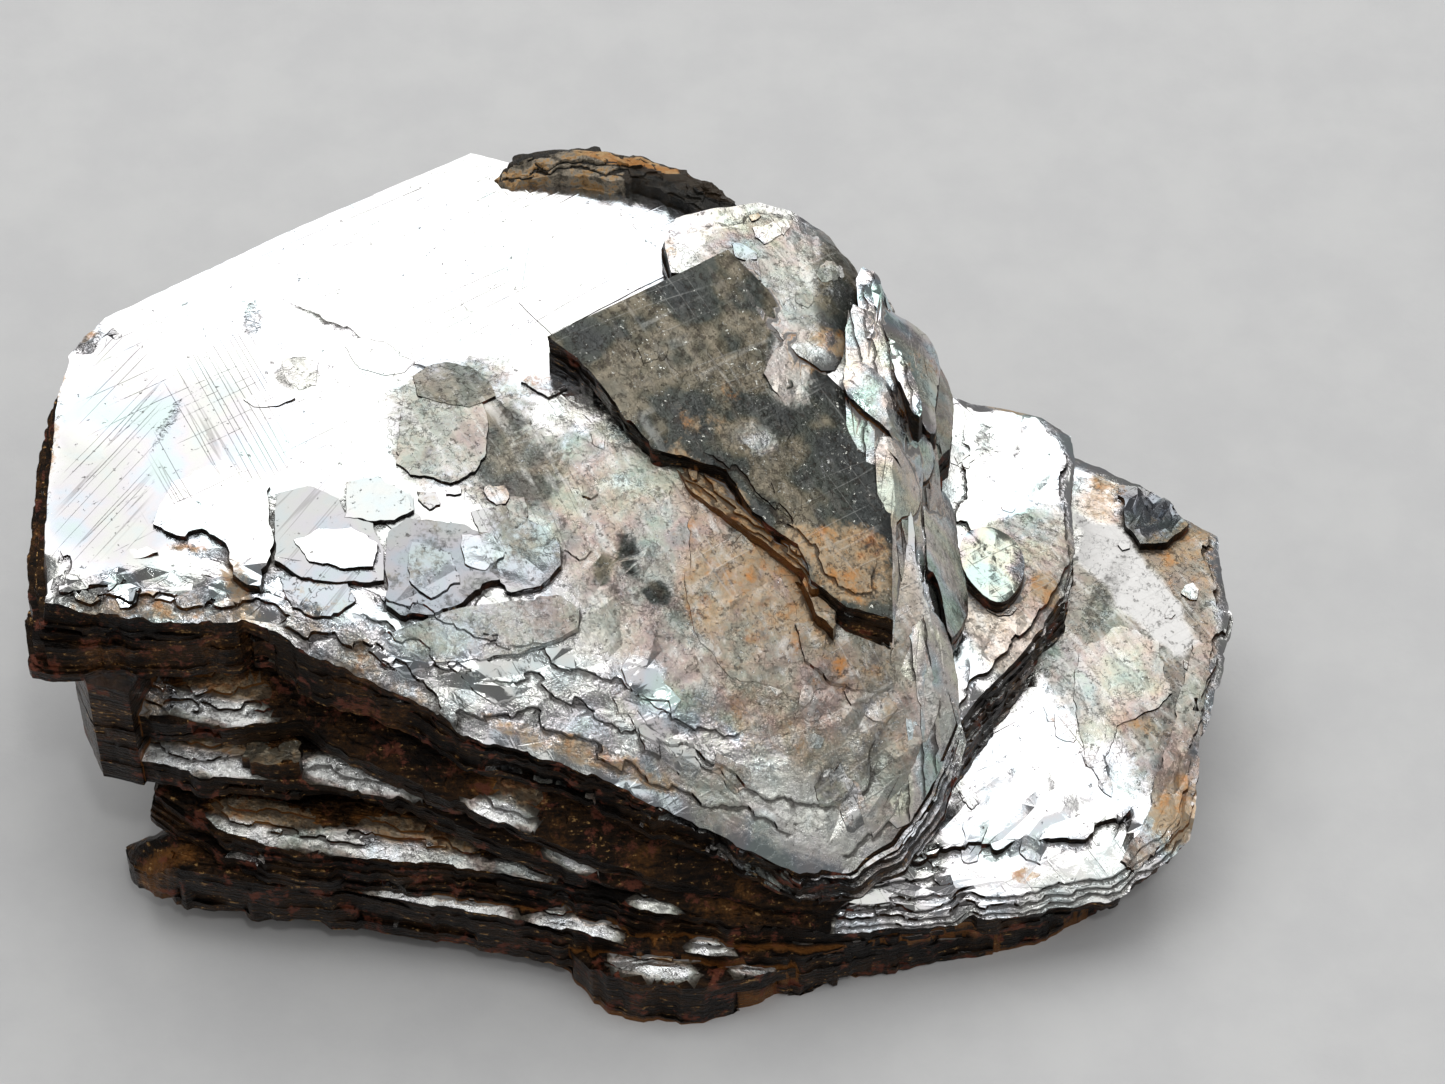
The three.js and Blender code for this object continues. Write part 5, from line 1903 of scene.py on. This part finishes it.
@dataclass
class RightSide(Piece):
    """The steep petals right of the main crystal, the side plate and the small round plate on it."""

    name: ClassVar[str] = "right_side"
    side: Points = (
        (14, 3), (16, 9), (18.1, 11.2), (20.6, 10.9), (22.9, 10.4), (24.6, 9.3), (24.7, 7.3), (24.3, 4.5),
        (24.4, 1.5, .2), (23.6, -1.6, .3), (22.4, -4, .4), (20.4, -6.6, .5), (18.6, -9, .6), (17.2, -11.4, .5),
        (15.4, -11.6), (13.6, -6),
    )
    disc: Points = (
        (18.2, 1), (19.4, 1.6), (20.8, 1.2), (21.6, -.4), (21.3, -2.2), (20, -3.9), (18.6, -2.6), (17.8, -.8),
    )

    def petals(self) -> list[Slab]:
        """The steep petals, from the highest to the lowest, then the thin strips that lap over them.

        Each has a rim, a face, a depth and the stains of its bare face.

        Returns:
            Their slabs.
        """
        shapes: list[tuple[Points, Height, float, tuple[float, ...]]] = [
            (((11.8, 8), (13.2, 7.4), (14.9, 3.4), (15.8, .5), (15.6, -2), (15.9, -5), (15.6, -9), (15.2, -12.2),
              (13.4, -12.6), (12.6, -9), (12.3, -4), (11.6, 2)),
             Falling(MAIN, .7, 14.2, .9, .62), 2.6, (.1, .5, .95, 1)),
            (((13.2, 10.6), (14.4, 9.5), (16.2, 4.5), (16.9, 1.3), (16.9, -2.7), (17.3, -6.5), (17.5, -9.5),
              (16.8, -12.4), (15.4, -12.6), (14.4, -8), (14, 0), (12.6, 6)),
             Falling(MAIN, -1.4, 15.6, 1.5), 2.6, (.22, .6, .8, 1)),
            (((12.4, 11.2), (13.6, 10.6), (15.2, 6.6), (16.4, 3.4), (15.8, 1.9), (13.8, 3.6), (12.2, 7.5)),
             Falling(MAIN, -.2, 13.6, 1.3), 2.6, (.05, .35, 1, 1)),
            (((13.4, 11.8), (15.8, 11.6), (17.5, 9.9), (17.9, 8), (17.3, 3.6), (15.2, 3), (13.4, 8)),
             Plane(18.6, (15, 0), (-.75, .05)), 2.6, (.1, .6, .7, 1)),
            (((15, -7.4), (16.6, -6.6), (17.5, -8.4), (17.6, -11.2), (16.4, -13.8), (14.6, -16.2), (13.4, -15.6),
              (13.6, -12.2), (14, -9.6)), Falling(MAIN, .16, 15.6, .5), 1.6, (0, .6, 1, 1)),
            (((13.2, .3), (14.2, .5), (15.1, -.4), (15.7, -1.3), (15.3, -2.6), (14.4, -3.4), (14.2, -4.4),
              (14.4, -5.4), (14.2, -7.5), (14, -9.4), (13.4, -8.4), (13.5, -6.5), (13.5, -4.8), (13.3, -2.7)),
             Falling(MAIN, 1., 14.2, 1., .7), 1.1, (.2, .6, .9, 1)),
            (((11.5, 3.9), (12.6, 4.1), (13.5, 3.4), (14.4, 2.6), (15.4, 2.1), (16.2, 2.2), (16.5, 1.3), (16.1, 0),
              (15.3, -1), (14.7, -.3), (14.1, .4), (13.3, 1), (12.3, 1.6), (11.6, 2.4)),
             Falling(MAIN, 1.25, 13.9, 1.2), 1.3, (.22, .5, .9, 1)),
            (((15.8, -.9), (16.7, 1), (17.3, 1.8), (17.7, .6), (17.9, -1.2), (18.1, -2.6), (18.3, -3.9), (18, -5.4),
              (17.6, -6.6), (17.1, -7.9), (16.8, -6), (16.4, -4.7), (15.9, -5), (15.9, -2.9)),
             Plane(18.7, (15.9, -3), (-1.75, .1)), 1.2, (.1, .5, .95, 1)),
            (((13.2, 8.9), (14.4, 8.7), (15.4, 8.9), (16.4, 8.7), (16.9, 7.7), (16.8, 6.2), (16.5, 4.2), (16.6, 2.4),
              (16.1, 1.9), (15.6, 2.8), (15.1, 4.1), (14.5, 5.7), (13.7, 7.2)),
             Plane(24.1, (13.4, 7), (-.95, .05)), 1.5, (.25, .3, 1, 1)),
            (((13.9, 6.4), (14.5, 5.8), (15.1, 4), (15.6, 2.2), (15.6, .8), (15.2, 1.2), (14.6, 2.8), (14, 4.8)),
             Plane(24.1, (14.5, 3.5), (-.1, .04)), 2.4, (0, 0, 1, 1)),
            (((12.4, 9.8), (13.1, 9.4), (13.4, 7.6), (13.1, 5.6), (12.7, 5.8), (12.4, 8)),
             Plane(24.9, (12.9, 7.5), (-.1, .02)), 2., (0, 0, 1, 1)),
        ]
        made = []
        for k, (rim, top, deep, bare) in enumerate(shapes):
            ring = np.array(rim)
            (x, y), (wide, tall) = ring.mean(axis=0).tolist(), np.ptp(ring, axis=0).tolist()
            zone, across = Oval((x, y), (wide, tall), 0, 0), x + .1 * y
            growth = [Roll(zone, .18, .7), Crumple(zone, .04, (2.2, .8), 80, 81 + k),
                      *ovals(GRIME, (x + .4, y, .4, tall / 4, .4))]
            if deep > 1.5:
                ends = (across - .8, across + .1, across + .9)
                growth.append(Steps(zone, ends, .1, 181 + k, .5, 3.4, .2, 1.4, (1., .1)))
            made.append(Slab(rim, top, (deep, deep), 121 + 2 * k, layers=5 if deep > 2 else 3, pitch=.34, step=.17,
                             ragged=.1, ledge=.09, bites=.2, waves=.16, growth=growth, curved=1, bare=bare))
        return made

    def slabs(self) -> list[Slab]:
        """The crystals with their growth and stains.

        Returns:
            The slabs.
        """
        rng = np.random.default_rng(131)
        whole = Oval((20, 0), (30, 30), 0, 0)
        spots = ((15, 3), (18, 10), (24, 8.5), (23.5, 0), (20, -5), (16, -6))
        growth = [
            *Scatter(spots, 4, (.6, 2.2), 1.5, 70, 50, .05, (.03, .12), (.7, 1), .15).flakes(rng),
            Steps(Area(((17.4, 12), (25, 11), (25.4, -2), (18, -11), (17, -10), (22, -1), (22.4, 8)), 1.), (.6,), .2,
                  91, .45, 3, .2, 1.3),
            Steps(Oval((20, 3), (3, 8)), (18.6,), .2, 92, .9, 3, .3, 1.3, (1., -.05)),
            Crumple(Oval((20, -6), (2.6, 4), 30), .1, (.9, .6), 55, 93),
            Crumple(Oval((22, 7), (3, 3)), .06, (1., .8), 10, 94), Roll(whole, .12, .7),
            *ovals(COAT, (20.8, -4, 3, 5, .75, 25), (23, 1, 1.6, 4, .6), (21.4, 1.6, 2.2, 1.6, .6)),
            *ovals(TONE, (22, 0, 3, 4, .62)),
            *ovals(RUST, (22.6, -1.6, .9, 1.2, .7), (20.6, -4.6, 2.4, 4, .33, 30), (21.4, 11, 1.6, .6, .6)),
            *ovals(GRIME, (19.6, 8, .5, 1.6, .45)), *ovals(TARNISH, (21, 2, 3, 3, .9))]
        side = Slab(self.side, Plane(13, (20, 2), (-.1, .06)), (4.6, 4.6), 131, layers=9, pitch=.42, step=.2,
                    ragged=.16, ledge=.12, bites=.3, growth=growth, bare=(0, .08, 1., .3))
        growth = [Roll(whole, .06, .4), Crumple(whole, .05, (.9, .6), 60, 97),
                  *ovals(GRIME, (21.2, -1.6, .5, 2, .5))]
        disc = Slab(self.disc, Plane(13.9, (20, 0), (-.14, .04)), (1.4, 1.4), 133, layers=3, pitch=.3, step=.16,
                    ragged=.05, ledge=.05, bites=.1, curved=2, growth=growth, bare=(0, .3, .6, 1.4))
        return [side, disc, *self.petals()]


@dataclass
class BackSide(Piece):
    """The mass that the crystals grew from, and the petals where the stack opens again at the back."""

    name: ClassVar[str] = "back_side"
    heart: Points = (
        (-21, -7.5), (-14, -10), (-6, -12.5), (4, -14.5), (11, -14), (14, -8), (14.5, 2), (11, 9), (1, 13),
        (-10, 13.5), (-18, 9.5), (-22, 2),
    )

    def slabs(self) -> list[Slab]:
        """The crystals with their growth and stains.

        Returns:
            The slabs.
        """
        heart = Slab(self.heart, Under(MAIN, 1.5, 1.5), (18, 9), 117, layers=18, pitch=1.5, step=.4, ledge=.2)
        shapes: list[tuple[Points, Height]] = [
            (((-20, 12.2), (-22, 15), (-15, 18.6), (-7, 20.2), (-1, 18.6), (-3, 15), (-12, 13)),
             Plane(20.4, (0, 14), (.03, -.25))),
            (((-4, 15), (-6, 18.4), (1, 19.6), (8, 17.6), (12.6, 13.6), (13.4, 9), (10, 11), (4, 14)),
             Plane(17, (5, 14), (-.12, -.4))),
            (((-24, 5), (-27.4, 7.6), (-26, 12.4), (-19.6, 17), (-12, 20), (-9, 16), (-16, 12)),
             Plane(14.4, (-18, 12), (.06, -.2))),
            (((4, 15), (4, 18.4), (12, 17.6), (20, 14.4), (24.4, 11.6), (22, 8), (14, 11)),
             Plane(7.2, (16, 13), (-.06, -.25))),
        ]
        petals = []
        for k, (rim, top) in enumerate(shapes):
            x, y = rim[2]
            zone = Oval((x, y), (12, 7), 0, .1)
            growth = [Steps(zone, (.5, 1.2), .18, 161 + k, .5, 3, .35, 1.3), Roll(zone, .35, 1.),
                      Crumple(Oval((x, y), (4, 2)), .15, (1., .6), 20, 171 + k),
                      *ovals(COAT, (x, y, 5, 3, .6)), *ovals(RUST, (x + 3, y, 3, 2, .45))]
            petals.append(Slab(rim, top, (2.8, 2.8), 151 + 2 * k, layers=6, pitch=.55, step=.24, ledge=.14, waves=.12,
                               growth=growth, bare=(0, .3, .8, .3)))
        return [heart, *petals]


# ---- Studio ----


@dataclass
class Studio:
    """Pale floor, soft light from above and behind, and the camera."""

    target: tuple[float, float, float] = (5.2 - CENTRE[0], 2.1 - CENTRE[1], 12.0)
    distance: float = 230.0
    elevation: float = 50.0
    lens: float = 105.0
    paper: Colour = (.58, .58, .58)
    pale_paper: Colour = (.62, .62, .615)

    def floor(self) -> None:
        """Lays a wide plain floor under the specimen."""
        s = Shader("pale_floor")
        colour = s.mix(s.noise(6.0, 5.0, .6).ramp(.3, .7), self.paper, self.pale_paper)
        matt = s.finished(colour, 0.0, .85, s.noise(.4, 4.0, .6), .05, .3)
        data = bpy.data.meshes.new("floor")
        data.from_pydata([(-3, -3, 0), (3, -3, 0), (3, 3, 0), (-3, 3, 0)], [], [(0, 1, 2, 3)])
        data.materials.append(matt)
        floor = bpy.data.objects.new("floor", data)
        bpy.context.scene.collection.objects.link(floor)

    def lamp(self, name: str, away: float, azimuth: float, elevation: float, size: tuple[float, float],
             glow: float, colour: Colour = (1, 1, 1)) -> None:
        """Hangs a soft box that faces the specimen.

        Args:
            name: the lamp's name.
            away: distance, in mm.
            azimuth: direction round from +Y towards +X, in degrees.
            elevation: height angle, in degrees.
            size: width and height, in mm.
            glow: how bright its face looks.
            colour: tint.
        """
        data = bpy.data.lights.new(name, "AREA")
        data.shape, data.size, data.size_y = "RECTANGLE", size[0] * MM, size[1] * MM
        data.energy, data.color = glow * math.pi * size[0] * size[1] * MM**2, colour
        lamp = bpy.data.objects.new(name, data)
        a, e = math.radians(azimuth), math.radians(elevation)
        way = Vector((math.sin(a) * math.cos(e), math.cos(a) * math.cos(e), math.sin(e)))
        lamp.location = Vector((0, 0, self.target[2] * MM)) + way * away * MM
        lamp.rotation_euler = (-way).to_track_quat("-Z", "Y").to_euler()
        bpy.context.scene.collection.objects.link(lamp)

    def build(self) -> None:
        """Sets up the stage, the light and the camera."""
        self.floor()
        self.lamp("overhead_back", 420, -8, 66, (460, 470), 2.15)
        self.lamp("front_right_fill", 480, 125, 55, (380, 380), .95)
        self.lamp("sparkle", 450, 168, 62, (30, 30), 60.0)
        self.lamp("side_glow", 520, -105, 34, (240, 260), .7)
        world = bpy.data.worlds.new("studio")
        bpy.context.scene.world = world
        world.use_nodes = True
        sky = world.node_tree.nodes["Background"].inputs
        sky["Color"].default_value, sky["Strength"].default_value = (.98, .99, 1, 1), .22
        bpy.context.scene.view_settings.view_transform = "Standard"
        e = math.radians(self.elevation)
        way = Vector((0, math.cos(e), -math.sin(e)))
        data = bpy.data.cameras.new("camera")
        data.lens, data.sensor_width, data.clip_start = self.lens, 36.0, .01
        camera = bpy.data.objects.new("camera", data)
        camera.location = (Vector(self.target) - way * self.distance) * MM
        camera.rotation_euler = way.to_track_quat("-Z", "Y").to_euler()
        bpy.context.scene.collection.objects.link(camera)
        bpy.context.scene.camera = camera


def main() -> None:
    """Builds the specimen and the studio."""
    logging.basicConfig(level=logging.INFO, format="%(name)s: %(message)s")
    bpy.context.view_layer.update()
    mason = Mason([BrightFace().material(), LayeredEdge().material(), IronCrust().material()])
    for part in (MainCrystal(), CapCrystals(), FannedLeaves(), LowCrystals(), RightSide(), BackSide()):
        LOG.info("built %s", part.build(mason).name)
    Studio().build()


if __name__ == "__main__":
    main()
